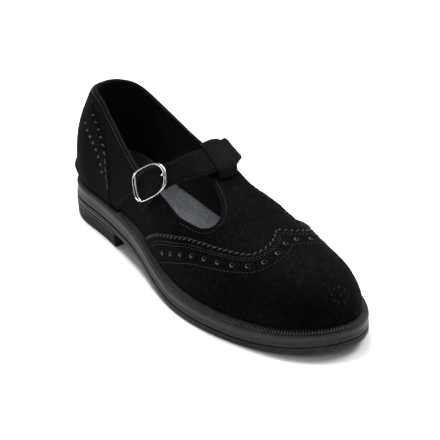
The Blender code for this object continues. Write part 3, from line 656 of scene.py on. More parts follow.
def welt_row(x, side, inset, lift):
    """A row of points along the welt, this far in from the sole's edge and over its top."""
    share = (x - WELT_START) / (LENGTH - WELT_START)
    pulled = np.minimum(x, LENGTH - inset * share ** 8)
    y = plan_centre(pulled) + side * half_width(side, pulled, inset, inset, 0.0)
    return np.stack([pulled, y, sole_top(pulled) + lift], 1)


def flat(place, angle):
    """A point of the surface on the flat drawing in which panels are cut."""
    return (float(place), float(angle) * FLAT_PER_DEGREE)


def spaced(points, step):
    """The same closed outline with points this far apart at most."""
    result = []
    for i, start in enumerate(points):
        end = points[(i + 1) % len(points)]
        length = math.dist(start, end)
        pieces = max(1, round(length / step))
        for k in range(pieces):
            share = k / pieces
            result.append((start[0] + (end[0] - start[0]) * share, start[1] + (end[1] - start[1]) * share))
    return result


def seam_key(place, angle, index):
    """A name that points share where the drawing closes on itself: at the back seam and the tip."""
    if place < BACK_PLACE + SEAM_NEAR:
        return "back", round(abs(angle) / SEAM_DEGREES)
    if place > TIP_PLACE - SEAM_NEAR:
        return "tip", 0
    return "own", index


def topline(side, places, drop=0.0):
    """The collar's edge on one side at these places, or a line this far below it."""
    angles = angle_at_height(side, places, collar_height[side](places) - drop)
    return list(zip(places, angles))


def foot_line(side, places, lift):
    """A line along the foot of the upper, this far above the sole's edge."""
    angles = angle_at_height(side, places, sole_top(along(places)) + lift)
    return list(zip(places, angles))


def edge_line(rows, side=1.0):
    """A table of places and angles as an outline on one side."""
    return [(place * LENGTH, side * angle) for place, angle in rows]


def below_collar(side, line):
    """The points of an edge line that lie under the collar's edge on this side."""
    edge = topline(side, np.array([place for place, _ in line]), COLLAR_DROP)
    return [point for point, (_, top) in zip(line, edge) if abs(point[1]) > abs(top) + COLLAR_CLEAR]


def upper_outline():
    """The edge of the upper: feather line, collar, throat and T-bar."""
    feather = np.concatenate([np.linspace(BACK_PLACE, DOME, 40), np.linspace(DOME, TIP_PLACE, 10)[1:]])
    collar = np.linspace(BACK_PLACE, TOPLINE_MEDIAL[-1][0] * LENGTH, 20)
    outline = [(place, -90.0) for place in feather]
    outline += [(place, 90.0) for place in feather[::-1]]
    outline += topline(MEDIAL, collar)
    outline += edge_line(THROAT)
    outline += [(BAR_END, THROAT[-1][1]), (BAR_END, -THROAT[-1][1])]
    outline += edge_line(THROAT, LATERAL)[::-1]
    outline += topline(LATERAL, collar[:0:-1])
    outline.append((BACK_PLACE, -outline[len(feather) * 2][1]))
    return outline


def rounded_section(wide, thick):
    """A flat strip's cross-section with rounded edges, as offsets across and through it."""
    half = wide / 2
    edge = thick / 2
    points = []
    for turn in np.linspace(-math.pi / 2, math.pi / 2, 5):
        points.append((half - edge + edge * math.cos(turn), edge * math.sin(turn)))
    for turn in np.linspace(math.pi / 2, 3 * math.pi / 2, 5):
        points.append((-half + edge + edge * math.cos(turn), edge * math.sin(turn)))
    return points


def buckle_frame_axes():
    """The buckle's middle, its direction along the strap, across it, and out of the shoe."""
    place, angle = BUCKLE_PLACE[0] * LENGTH, BUCKLE_PLACE[1]
    lift = STRAP_LIFT + STRAP_THICK + GAP + BUCKLE_THICK / 2
    middle = offset_point(place, angle, lift)
    out = last_normal(place, angle)
    forward = np.array([1.0, 0.0, 0.0]) - out * out[0]
    forward /= np.linalg.norm(forward)
    upward = np.cross(out, forward)
    if upward[2] < 0:
        upward = -upward
    turn = math.radians(BUCKLE_TURN)
    along_strap = forward * math.cos(turn) + upward * math.sin(turn)
    across = np.cross(out, along_strap)
    return middle, along_strap, across, out


def rounded_loop(long, wide, corner, per_corner=6):
    """A rounded rectangle as points and outward directions."""
    points = []
    for k, (sx, sy) in enumerate(((1, 1), (-1, 1), (-1, -1), (1, -1))):
        for turn in np.linspace(0, math.pi / 2, per_corner):
            angle = turn + k * math.pi / 2
            middle = (sx * (long / 2 - corner), sy * (wide / 2 - corner))
            way = (math.cos(angle), math.sin(angle))
            points.append(((middle[0] + corner * way[0], middle[1] + corner * way[1]), way))
    return points


def to_row_shift():
    """How far the shoe's own frame is from the row's."""
    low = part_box("outsole")[0]
    lateral = ladder(0.0, 400)[1]
    return np.array([-low[0], lateral.min() - low[1], 0.0])


ROW_SHIFT = to_row_shift()


def add_piece(name, points, faces, materials, slots=None, stands_for=()):
    """One piece of the object, in the row's frame, riding on the only body."""
    mesh = bpy.data.meshes.new(name)
    points = np.asarray(points) - ROW_SHIFT
    mesh.from_pydata([tuple(p) for p in points.tolist()], [], [tuple(int(i) for i in f) for f in faces])
    for material in materials:
        mesh.materials.append(material)
    if slots is not None:
        mesh.polygons.foreach_set("material_index", np.asarray(slots, np.int32))
    mesh.validate()
    mesh.polygons.foreach_set("use_smooth", np.ones(len(mesh.polygons), bool))
    mesh.set_sharp_from_angle(angle=math.radians(SMOOTH_TURN))
    mesh.update()
    piece = bpy.data.objects.new(name, mesh)
    bpy.context.scene.collection.objects.link(piece)
    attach(piece, "root")
    if stands_for:
        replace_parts(piece, *stands_for)
    return piece


# Soft troughs over the ball and at the heel: place in LENGTH, slant over 90 degrees, width and depth
CREASES = (
    (0.632, 0.022, 0.0100, 0.00022),
    (0.672, -0.014, 0.0120, 0.00034),
    (0.570, 0.030, 0.0110, 0.00020),
)
CREASE_SPREAD = 52.0
UNEVEN = 0.00022


def relief(place, angle):
    """How far the leather stands out of the last: creases over the ball and a slight unevenness."""
    share = np.asarray(place) / LENGTH
    angle = np.asarray(angle)
    across = np.exp(-(angle / CREASE_SPREAD) ** 2)
    total = np.zeros(np.broadcast(share, angle).shape)
    for at, slant, wide, deep in CREASES:
        away = (share - at - slant * angle / 90 - 0.004 * np.sin(angle / 17.0)) / wide
        total = total - deep * np.exp(-away ** 2) * across
        total = total + 0.45 * deep * np.exp(-(away - 1.9) ** 2) * across
    wave = np.sin(share * 31 + angle * 0.045) * np.sin(angle * 0.11 + 1.3)
    fade = np.clip(share * 8, 0, 1) * np.clip((1.02 - share) * 8, 0, 1)
    total = total + UNEVEN * wave * fade * np.clip((88 - np.abs(angle)) / 12, 0, 1)
    near_back = np.clip((HEEL_ROLL_END - share) / HEEL_ROLL_END, 0, 1)
    return total + HEEL_ROLL * near_back * np.exp(-((np.abs(angle) - HEEL_ROLL_AT) / HEEL_ROLL_WIDE) ** 2)


def surface(place, angle, lift):
    """A point over the last with the leather's relief."""
    lift = np.broadcast_to(np.asarray(lift, float), np.broadcast(place, angle).shape)
    return offset_point(place, angle, lift + relief(place, angle))


def in_outline(points, outline):
    """Which of many flat points lie inside a closed outline."""
    x, y = points[:, 0][:, None], points[:, 1][:, None]
    ends = np.roll(outline, 1, axis=0)
    result = np.zeros(len(points), bool)
    for first in range(0, len(points), 4000):
        part = slice(first, first + 4000)
        above = (outline[None, :, 1] > y[part]) != (ends[None, :, 1] > y[part])
        rise = ends[:, 1] - outline[:, 1]
        rise = np.where(rise == 0, 1e-12, rise)
        cross = outline[None, :, 0] + (ends - outline)[None, :, 0] * (y[part] - outline[None, :, 1]) / rise
        result[part] = (above & (x[part] < cross)).sum(1) % 2 == 1
    return result


def nearest(points, border):
    """Distance from each flat point to the closest border point."""
    result = np.empty(len(points))
    for first in range(0, len(points), 4000):
        part = slice(first, first + 4000)
        gap = np.hypot(points[part, None, 0] - border[None, :, 0], points[part, None, 1] - border[None, :, 1])
        result[part] = gap.min(1)
    return result


def fine_sheet(name, outline, low, high, materials, holes=(), step=FINE_STEP, edge=FINE_EDGE,
               edge_keep=1.0, stands_for=()):
    """A wall over the last, cut to an outline and punched, as one closed mesh."""
    border = np.array(spaced([flat(*p) for p in outline], edge))
    rise = step * math.sqrt(3) / 2
    row = np.arange(math.floor(border[:, 1].min() / rise), math.floor(border[:, 1].max() / rise) + 2)
    cell = np.arange(math.floor(border[:, 0].min() / step) - 1, math.floor(border[:, 0].max() / step) + 2)
    grid_row, grid_cell = np.meshgrid(row, cell)
    lattice = np.stack([(grid_cell + (grid_row % 2) / 2) * step, grid_row * rise], -1).reshape(-1, 2)
    lattice = lattice[in_outline(lattice, border)]
    lattice = lattice[nearest(lattice, border) > NEAR_BORDER * edge]
    points = [tuple(p) for p in border]
    edges = [(i, (i + 1) % len(border)) for i in range(len(border))]
    for x, y, wide, tall in holes:
        away = np.hypot((lattice[:, 0] - x) / wide, (lattice[:, 1] - y) / tall)
        lattice = lattice[away > 1 + 0.35 * step / min(wide, tall)]
        sides = 12 if wide > 0.0007 else 8
        first = len(points)
        for k in range(sides):
            turn = 2 * math.pi * k / sides
            points.append((x + wide * math.cos(turn), y + tall * math.sin(turn)))
            edges.append((first + k, first + (k + 1) % sides))
    rim_count = len(points)
    points += [tuple(p) for p in lattice]
    verts, _, triangles, _, _, _ = delaunay_2d_cdt(points, edges, [], 0, 1e-7)
    drawn = np.array([tuple(v) for v in verts])
    faces = np.array([tuple(t) for t in triangles])
    middle = drawn[faces].mean(1)
    kept = in_outline(middle, border)
    for x, y, wide, tall in holes:
        kept &= np.hypot((middle[:, 0] - x) / wide, (middle[:, 1] - y) / tall) > 1
    faces = faces[kept]
    place = drawn[:, 0]
    angle = np.clip(drawn[:, 1] / FLAT_PER_DEGREE, -90, 90)
    top = np.full(len(drawn), high)
    on_rim = np.arange(len(drawn)) < rim_count
    top[on_rim] = low + (high - low) * edge_keep
    outer = surface(place, angle, top)
    inner = surface(place, angle, np.full(len(drawn), low))
    keys = {}
    same = np.array([keys.setdefault(seam_key(p, a, i), i) for i, (p, a) in enumerate(zip(place, angle))])
    count = len(drawn)
    faces = same[faces]
    whole = (faces[:, 0] != faces[:, 1]) & (faces[:, 1] != faces[:, 2]) & (faces[:, 0] != faces[:, 2])
    faces = faces[whole]
    turned = faces[:, [0, 2, 1]] + count
    pairs = np.concatenate([faces[:, [0, 1]], faces[:, [1, 2]], faces[:, [2, 0]]])
    known = {tuple(p) for p in pairs.tolist()}
    rim = np.array([(b, a, count + a, count + b) for a, b in known if (b, a) not in known])
    every = [tuple(f) for f in faces.tolist()] + [tuple(f) for f in turned.tolist()]
    every += [tuple(f) for f in rim.tolist()]
    slots = [0] * len(faces) + [1] * len(turned) + [2] * len(rim)
    used = np.unique(np.concatenate([faces.ravel(), turned.ravel()]))
    number = np.full(2 * count, -1)
    number[used] = np.arange(len(used))
    every = [tuple(number[list(f)]) for f in every]
    points = np.concatenate([outer, inner])[used]
    return add_piece(name, points, every, materials, slots, stands_for)


def steps_along(line, pitch, start=0.0, on_last=False):
    """Flat points every pitch along a flat line, with the direction to its left.

    The pitch is measured on the drawing or, with on_last, over the last itself.
    """
    line = np.asarray(line, float)
    angle = np.clip(line[:, 1] / FLAT_PER_DEGREE, -FOOT_LIMIT, FOOT_LIMIT)
    measured = last_point(line[:, 0], angle) if on_last else line
    way = np.concatenate([[0.0], np.cumsum(np.linalg.norm(np.diff(measured, axis=0), axis=1))])
    count = max(2, int((way[-1] - 2 * start) / pitch) + 1)
    wanted = start + (way[-1] - 2 * start) * np.linspace(0, 1, count)
    x = np.interp(wanted, way, line[:, 0])
    y = np.interp(wanted, way, line[:, 1])
    heading = np.stack([np.gradient(x), np.gradient(y)], 1)
    heading /= np.maximum(np.linalg.norm(heading, axis=1, keepdims=True), 1e-9)
    return np.stack([x, y], 1), np.stack([-heading[:, 1], heading[:, 0]], 1)


def curve_through(line, per=12):
    """A smooth flat curve through given flat points."""
    line = np.asarray(line, float)
    way = np.concatenate([[0.0], np.cumsum(np.hypot(*np.diff(line, axis=0).T))])
    fine = np.linspace(0, way[-1], per * len(line))
    return np.stack([spline(way, line[:, 0])(fine), spline(way, line[:, 1])(fine)], 1)


def flat_line(rows, side=1.0):
    """A table of places and angles as a smooth flat line."""
    return curve_through([flat(place * LENGTH, side * angle) for place, angle in rows])


def scalloped(line, pitch, deep, left=1.0):
    """A flat line with a pinked edge, teeth standing out to its left or right."""
    per_tooth = 6
    points, out = steps_along(line, pitch / per_tooth, 0.0, True)
    phase = (np.arange(len(points)) % per_tooth) / per_tooth
    return points + out * left * (deep * (1 - np.abs(2 * phase - 1)))[:, None]


def parallel(line, distance):
    """A line beside another, without the loops that a sharp bend would leave in it."""
    points, out = steps_along(line, FINE_EDGE)
    moved = points + out * distance
    clear = nearest(moved, points) > abs(distance) * 0.97
    return moved[clear & (np.abs(moved[:, 1]) < FOOT_LIMIT * FLAT_PER_DEGREE)]


def beside(line, distance, pitch, start=0.0):
    """Flat points every pitch on a line parallel to another."""
    return steps_along(parallel(line, distance), pitch, start, True)[0]


def as_outline(points):
    """Flat points as places and angles."""
    return [(float(x), float(y) / FLAT_PER_DEGREE) for x, y in points]


def drawn_radii(points, radius):
    """The two half-axes, on the drawing, of a circle of this radius on the last."""
    points = np.asarray(points, float)
    place, angle = points[:, 0], points[:, 1] / FLAT_PER_DEGREE
    apart = NORMAL_TURN * 2
    by_place = last_point(place + NORMAL_STEP, angle) - last_point(place - NORMAL_STEP, angle)
    by_angle = last_point(place, angle + apart) - last_point(place, angle - apart)
    wide = radius * 2 * NORMAL_STEP / np.linalg.norm(by_place, axis=1)
    tall = radius * 2 * apart * FLAT_PER_DEGREE / np.linalg.norm(by_angle, axis=1)
    return np.clip(wide, radius * 0.5, radius * 1.5), np.clip(tall, radius * 0.5, radius * 1.5)


def punched(points, radius):
    """Round holes at flat points."""
    wide, tall = drawn_radii(points, radius)
    return [(float(x), float(y), float(w), float(t)) for (x, y), w, t in zip(points, wide, tall)]


def stitch_mesh(flat_points, lift, radius, arch):
    """Short threads between each pair of flat points, bowed over the leather."""
    rings, sides = 5, 6
    start, end = flat_points[0::2], flat_points[1::2]
    count = min(len(start), len(end))
    start, end = start[:count], end[:count]
    share = np.linspace(0, 1, rings)
    middle = start[:, None] + (end - start)[:, None] * share[None, :, None]
    place = middle[..., 0]
    angle = middle[..., 1] / FLAT_PER_DEGREE
    bow = arch * np.sin(math.pi * share)
    centre = surface(place, angle, lift + np.broadcast_to(bow, place.shape))
    out = last_normal(place, angle)
    heading = np.gradient(centre, axis=1)
    heading /= np.maximum(np.linalg.norm(heading, axis=-1, keepdims=True), 1e-9)
    aside = np.cross(out, heading)
    turn = np.linspace(0, 2 * math.pi, sides, endpoint=False)
    thick = radius * (0.45 + 0.55 * np.sin(math.pi * share) ** 0.5)
    ring = aside[:, :, None] * np.cos(turn)[None, None, :, None] + out[:, :, None] * np.sin(turn)[None, None, :, None]
    points = centre[:, :, None] + ring * thick[None, :, None, None]
    faces = []
    for k in range(count):
        base = k * rings * sides
        for r in range(rings - 1):
            for s in range(sides):
                a = base + r * sides + s
                b = base + r * sides + (s + 1) % sides
                faces.append((a, b, b + sides, a + sides))
        faces.append(tuple(base + s for s in reversed(range(sides))))
        faces.append(tuple(base + (rings - 1) * sides + s for s in range(sides)))
    return points.reshape(-1, 3), faces


def add_stitches(name, rows, material, radius, arch):
    """All the stitches of one kind as one mesh. A row is flat points and the height they lie at."""
    all_points, all_faces, first = [], [], 0
    for flat_points, lift in rows:
        points, faces = stitch_mesh(flat_points, lift, radius, arch)
        all_points.append(points)
        all_faces += [tuple(i + first for i in face) for face in faces]
        first += len(points)
    return add_piece(name, np.concatenate(all_points), all_faces, [material])


def seam(line, distance):
    """Pairs of flat points, one pair for each stitch of a seam parallel to a line."""
    return stitched(parallel(line, distance)[3:-3], STITCH_PITCH, STITCH_LENGTH, 0.0)


def stitched(line, pitch, length, slant):
    """Pairs of flat points along a line, turned from it by a slant in degrees."""
    centres, side = steps_along(line, pitch, 0.0, True)
    ahead = np.stack([side[:, 1], -side[:, 0]], 1)
    turn = math.radians(slant)
    along = (ahead * math.cos(turn) + side * math.sin(turn)) * length / 2
    pairs = np.empty((2 * len(centres), 2))
    pairs[0::2] = centres - along
    pairs[1::2] = centres + along
    return pairs


def lips(name, flat_points, lift, radius, material, rise=0.00042):
    """Raised rims round punched holes, as one mesh."""
    around, sides = 14, 5
    spin = np.linspace(0, 2 * math.pi, around, endpoint=False)
    turn = np.linspace(0, 2 * math.pi, sides, endpoint=False)
    flat_points = np.asarray(flat_points)
    wide, tall = drawn_radii(flat_points, radius)
    x = flat_points[:, None, 0] + wide[:, None] * np.cos(spin)
    y = flat_points[:, None, 1] + tall[:, None] * np.sin(spin)
    angle = y / FLAT_PER_DEGREE
    centre = surface(x, angle, lift)
    out = last_normal(x, angle)
    thick = rise * (0.18 + 0.82 * np.clip(np.cos(spin + math.radians(LIP_TURN)), 0, 1))
    inward = centre.mean(1, keepdims=True) - centre
    inward /= np.linalg.norm(inward, axis=-1, keepdims=True)
    across = inward[:, :, None] * np.cos(turn)[None, None, :, None]
    upward = out[:, :, None] * np.sin(turn)[None, None, :, None]
    points = centre[:, :, None] + (across + upward) * thick[None, :, None, None]
    faces = []
    for k in range(len(flat_points)):
        base = k * around * sides
        for r in range(around):
            for s in range(sides):
                a, b = r * sides + s, r * sides + (s + 1) % sides
                after = ((r + 1) % around) * sides
                faces.append((base + a, base + b, base + after + (s + 1) % sides, base + after + s))
    return add_piece(name, points.reshape(-1, 3), faces, [material])


def tube(name, centres, out, wide, thick, materials, sides=12, closed=False, stands_for=(),
         turn_power=1.0):
    """A rounded section carried along a path. out points away from the shoe."""
    centres = np.asarray(centres, float)
    heading = np.gradient(centres, axis=0)
    if closed:
        heading = np.roll(centres, -1, axis=0) - np.roll(centres, 1, axis=0)
    heading /= np.linalg.norm(heading, axis=1, keepdims=True)
    aside = np.cross(out, heading)
    aside /= np.linalg.norm(aside, axis=1, keepdims=True)
    upward = np.cross(heading, aside)
    turn = np.linspace(0, 2 * math.pi, sides, endpoint=False)
    wide = np.broadcast_to(wide, len(centres))[:, None, None]
    thick = np.broadcast_to(thick, len(centres))[:, None, None]
    across = np.sign(np.cos(turn)) * np.abs(np.cos(turn)) ** turn_power
    through = np.sign(np.sin(turn)) * np.abs(np.sin(turn)) ** turn_power
    points = centres[:, None] + aside[:, None] * across[None, :, None] * wide / 2
    points = points + upward[:, None] * through[None, :, None] * thick / 2
    rings = len(centres)
    faces = []
    for r in range(rings if closed else rings - 1):
        for s in range(sides):
            a, b = r * sides + s, r * sides + (s + 1) % sides
            c = ((r + 1) % rings) * sides
            faces.append((a, b, c + (s + 1) % sides, c + s))
    if not closed:
        faces.append(tuple(reversed(range(sides))))
        faces.append(tuple((rings - 1) * sides + s for s in range(sides)))
    return add_piece(name, points.reshape(-1, 3), faces, materials, None, stands_for)


# Materials

def new_material(name):
    """A material with its node tree, shader and the object's own coordinates."""
    material = bpy.data.materials.new(name)
    material.use_nodes = True
    nodes = material.node_tree.nodes
    shader = nodes["Principled BSDF"]
    place = nodes.new("ShaderNodeTexCoord")
    return material, nodes, material.node_tree.links, shader, place.outputs["Object"]


def noise(nodes, links, coordinates, scale, detail=3.0, rough=0.55, stretch=None):
    """A noise pattern with this many features per metre."""
    made = nodes.new("ShaderNodeTexNoise")
    made.inputs["Scale"].default_value = scale
    made.inputs["Detail"].default_value = detail
    made.inputs["Roughness"].default_value = rough
    if stretch:
        mapping = nodes.new("ShaderNodeMapping")
        mapping.inputs["Scale"].default_value = stretch
        links.new(coordinates, mapping.inputs["Vector"])
        coordinates = mapping.outputs["Vector"]
    links.new(coordinates, made.inputs["Vector"])
    return made.outputs["Fac"]


def ramp(nodes, links, value, stops):
    """Colours chosen along a value."""
    made = nodes.new("ShaderNodeValToRGB")
    made.color_ramp.elements[0].position = stops[0][0]
    made.color_ramp.elements[0].color = (*stops[0][1], 1)
    made.color_ramp.elements[1].position = stops[-1][0]
    made.color_ramp.elements[1].color = (*stops[-1][1], 1)
    for position, color in stops[1:-1]:
        extra = made.color_ramp.elements.new(position)
        extra.color = (*color, 1)
    links.new(value, made.inputs["Fac"])
    return made.outputs["Color"]


def mix(nodes, links, factor, first, second, kind="MIX"):
    """Two colours mixed by a factor, which is a number or a pattern."""
    made = nodes.new("ShaderNodeMix")
    made.data_type = "RGBA"
    made.blend_type = kind
    if isinstance(factor, float):
        made.inputs["Factor"].default_value = factor
    else:
        links.new(factor, made.inputs["Factor"])
    for color, socket in ((first, made.inputs["A"]), (second, made.inputs["B"])):
        if isinstance(color, tuple):
            socket.default_value = (*color, 1)
        else:
            links.new(color, socket)
    return made.outputs["Result"]


def spread(nodes, links, value, low, high):
    """A pattern from 0 to 1 as a value from low to high."""
    made = nodes.new("ShaderNodeMapRange")
    made.inputs["To Min"].default_value = low
    made.inputs["To Max"].default_value = high
    links.new(value, made.inputs["Value"])
    return made.outputs["Result"]


def bump(nodes, links, heights, shader):
    """Fine relief from (pattern, strength, depth) rows, one over another."""
    normal = None
    for height, strength, deep in heights:
        made = nodes.new("ShaderNodeBump")
        made.inputs["Strength"].default_value = strength
        made.inputs["Distance"].default_value = deep
        links.new(height, made.inputs["Height"])
        if normal:
            links.new(normal, made.inputs["Normal"])
        normal = made.outputs["Normal"]
    links.new(normal, shader.inputs["Normal"])


def suede(name, dark, light, sheen, mottle=0.84):
    """Brushed suede: a nap that lies in lighter and darker patches, with fine fibres."""
    material, nodes, links, shader, place = new_material(name)
    patches = noise(nodes, links, place, 34.0, 4.0, 0.6)
    wrinkle = noise(nodes, links, place, 150.0, 3.0, 0.5)
    nap = noise(nodes, links, place, 420.0, 3.0, 0.6, (1.0, 1.6, 1.0))
    fibre = noise(nodes, links, place, 2300.0, 2.0, 0.7, (0.6, 1.0, 1.0))
    base = ramp(nodes, links, patches, ((0.36, dark), (0.64, light)))
    low, high = 1 - mottle, 1 + mottle
    speck = ramp(nodes, links, nap, ((0.36, (low, low, low)), (0.66, (high, high * 0.97, high))))
    base = mix(nodes, links, 1.0, base, speck, "MULTIPLY")
    hair = ramp(nodes, links, fibre, ((0.35, (0.7, 0.7, 0.7)), (0.75, (1.45, 1.42, 1.45))))
    links.new(mix(nodes, links, 1.0, base, hair, "MULTIPLY"), shader.inputs["Base Color"])
    links.new(spread(nodes, links, patches, 0.85, 1.0), shader.inputs["Roughness"])
    shader.inputs["Specular IOR Level"].default_value = 0.04
    shader.inputs["Sheen Weight"].default_value = sheen
    shader.inputs["Sheen Roughness"].default_value = 0.42
    shader.inputs["Sheen Tint"].default_value = (0.62, 0.58, 0.62, 1)
    heights = ((patches, 0.25, 0.0006), (wrinkle, 0.45, 0.0007), (nap, 0.55, 0.00035), (fibre, 0.6, 0.00012))
    bump(nodes, links, heights, shader)
    return material


def rubber(name, dark, light, dusty):
    """Matt moulded rubber with faint mould marks and dust."""
    material, nodes, links, shader, place = new_material(name)
    cloud = noise(nodes, links, place, 40.0, 4.0)
    grain = noise(nodes, links, place, 1500.0, 2.0)
    dust = noise(nodes, links, place, 160.0, 5.0, 0.7)
    base = ramp(nodes, links, cloud, ((0.3, dark), (0.7, light)))
    patch = ramp(nodes, links, dust, ((0.52, (0, 0, 0)), (0.75, (dusty, dusty, dusty))))
    links.new(mix(nodes, links, patch, base, (0.16, 0.155, 0.15)), shader.inputs["Base Color"])
    links.new(spread(nodes, links, dust, 0.38, 0.66), shader.inputs["Roughness"])
    shader.inputs["Specular IOR Level"].default_value = 0.24
    bump(nodes, links, ((cloud, 0.15, 0.0004), (grain, 0.35, 0.00008)), shader)
    return material


def leather(name, dark, light, rough, pebble=900.0, depth=0.00012, gloss=0.22):
    """Smooth dyed leather with a fine pebbled grain."""
    material, nodes, links, shader, place = new_material(name)
    cells = nodes.new("ShaderNodeTexVoronoi")
    cells.feature = "F1"
    cells.inputs["Scale"].default_value = pebble
    links.new(place, cells.inputs["Vector"])
    tone = noise(nodes, links, place, 60.0, 4.0, 0.6)
    wear = noise(nodes, links, place, 260.0, 4.0, 0.65)
    base = ramp(nodes, links, tone, ((0.3, dark), (0.72, light)))
    worn = ramp(nodes, links, wear, ((0.3, (0.82, 0.82, 0.82)), (0.75, (1.2, 1.2, 1.2))))
    links.new(mix(nodes, links, 1.0, base, worn, "MULTIPLY"), shader.inputs["Base Color"])
    links.new(spread(nodes, links, wear, rough - 0.08, rough + 0.12), shader.inputs["Roughness"])
    shader.inputs["Specular IOR Level"].default_value = gloss
    bump(nodes, links, ((cells.outputs["Distance"], 0.45, depth), (wear, 0.3, depth)), shader)
    return material


def thread(name, color):
    """Waxed thread with a fine twist."""
    material, nodes, links, shader, place = new_material(name)
    shader.inputs["Specular IOR Level"].default_value = 0.12
    twist = noise(nodes, links, place, 3500.0, 2.0)
    tint = ramp(nodes, links, twist, ((0.3, tuple(c * 0.6 for c in color)), (0.7, color)))
    links.new(tint, shader.inputs["Base Color"])
    links.new(spread(nodes, links, twist, 0.45, 0.7), shader.inputs["Roughness"])
    bump(nodes, links, ((twist, 0.5, 0.00006),), shader)
    return material


def polished(name):
    """Polished plated metal with hairline scratches."""
    material, nodes, links, shader, place = new_material(name)
    hairline = noise(nodes, links, place, 900.0, 3.0, 0.6, (1.0, 8.0, 1.0))
    cloud = noise(nodes, links, place, 120.0, 3.0)
    links.new(ramp(nodes, links, cloud, ((0.3, (0.40, 0.40, 0.41)), (0.7, (0.60, 0.60, 0.61)))),
              shader.inputs["Base Color"])
    shader.inputs["Metallic"].default_value = 1.0
    links.new(spread(nodes, links, hairline, 0.08, 0.22), shader.inputs["Roughness"])
    bump(nodes, links, ((hairline, 0.12, 0.00004),), shader)
    return material


def floor_paper(name):
    """Pale studio paper."""
    material, nodes, links, shader, place = new_material(name)
    fibre = noise(nodes, links, place, 300.0, 4.0)
    links.new(ramp(nodes, links, fibre, ((0.3, (0.90, 0.90, 0.90)), (0.7, (0.93, 0.93, 0.93)))),
              shader.inputs["Base Color"])
    shader.inputs["Roughness"].default_value = 0.95
    shader.inputs["Specular IOR Level"].default_value = 0.1
    bump(nodes, links, ((fibre, 0.05, 0.0001),), shader)
    return material


VAMP_SUEDE = suede("vamp_suede", (0.0010, 0.0008, 0.0010), (0.0025, 0.0020, 0.0025), 0.004)
PANEL_SUEDE = suede("wing_suede", (0.0010, 0.0008, 0.0009), (0.0026, 0.0022, 0.0024), 0.004)
# The strap's and the loop's suedes are paler copies of the vamp's suede: painted light for the sheen they catch on
# top of the shoe.
STRAP_SUEDE_PAINTED_LIGHT = suede("strap_suede_painted_light", (0.0026, 0.0022, 0.0023), (0.0052, 0.0045, 0.0047), 0.010, 0.35)
LOOP_SUEDE_PAINTED_LIGHT = suede("loop_suede_painted_light", (0.0042, 0.0038, 0.0038), (0.0064, 0.0059, 0.0059), 0.010, 0.15)
CUT_EDGE = leather("cut_edge", (0.003, 0.0028, 0.003), (0.009, 0.0085, 0.0088), 0.75, 1400.0)
# The pale leather of the hole lips is a painted highlight: light caught by the rims of the punched holes.
HOLE_LIP_PAINTED_HIGHLIGHT = leather("hole_lip_painted_highlight", (0.040, 0.038, 0.040), (0.110, 0.105, 0.106), 0.6, 1400.0)
LINING = leather("lining_leather", (0.0050, 0.0050, 0.0054), (0.0100, 0.0100, 0.0106), 0.62)
BINDING = leather("collar_binding", (0.0014, 0.0014, 0.0016), (0.0038, 0.0036, 0.0038), 0.7, 1300.0, gloss=0.05)
SOCK = leather("insole_sock", (0.028, 0.031, 0.039), (0.060, 0.065, 0.078), 0.48, 430.0, 0.0005)
# Painted highlight, weaker, on the rims of the rosette's larger holes.
ROSETTE_LIP_PAINTED_HIGHLIGHT = leather("rosette_lip_painted_highlight", (0.008, 0.0075, 0.008), (0.026, 0.025, 0.025), 0.6, 1400.0)
SOLE_RUBBER = rubber("sole_rubber", (0.0068, 0.0068, 0.0073), (0.0125, 0.0125, 0.0130), 0.15)
WELT_RUBBER = rubber("welt_rubber_fine", (0.0110, 0.0110, 0.0115), (0.0200, 0.0200, 0.0205), 0.2)
# Near-black rubber for the welt's grooves: painted shade between the ribs.
WELT_GROOVE_PAINTED_SHADE = rubber("welt_groove_painted_shade", (0.0008, 0.0008, 0.0009), (0.0018, 0.0018, 0.0019), 0.02)
THREAD = thread("seam_thread", (0.0030, 0.0028, 0.0029))
PALE_THREAD = thread("bright_thread", (0.020, 0.0190, 0.0196))
# The cord's pale tone is a painted highlight: light caught by the teeth of the scalloped edges, laid on a real cord.
CORD_PAINTED_HIGHLIGHT = thread("edge_cord_painted_highlight", (0.044, 0.0415, 0.0425))
SILVER = polished("buckle_plate")


# Sole

def sole_layers(name, levels, start=0.0, count=STATIONS):
    """A layer of the sole from rings given as (inset, height function), lowest first."""
    rings = [outline_ring(inset, height, start, LENGTH, count) for inset, height in levels]
    top = (len(rings) - 1) * 2 * count
    faces = strips(rings) + ladder_caps(0, count) + ladder_caps(top, count)
    return add_piece(name, np.concatenate(rings), faces, [SOLE_RUBBER], None, ())


def make_outsole():
    """The outsole with a rounded lower edge and a fine line round its side."""
    bottom = SOLE_EDGE_ROUND
    rings = (
        (bottom, lambda x: underside(x)),
        (bottom * 0.30, lambda x: underside(x) + bottom * 0.35),
        (0.0, lambda x: underside(x) + bottom),
        (0.0, lambda x: underside(x) + OUTSOLE * 0.55),
        (0.00035, lambda x: underside(x) + OUTSOLE * 0.60),
        (0.00035, lambda x: underside(x) + OUTSOLE * 0.68),
        (0.0, lambda x: underside(x) + OUTSOLE * 0.73),
        (0.0, lambda x: underside(x) + OUTSOLE * 0.93),
        (0.0003, lambda x: underside(x) + OUTSOLE),
    )
    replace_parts(sole_layers("outsole_dressed", rings), "outsole")


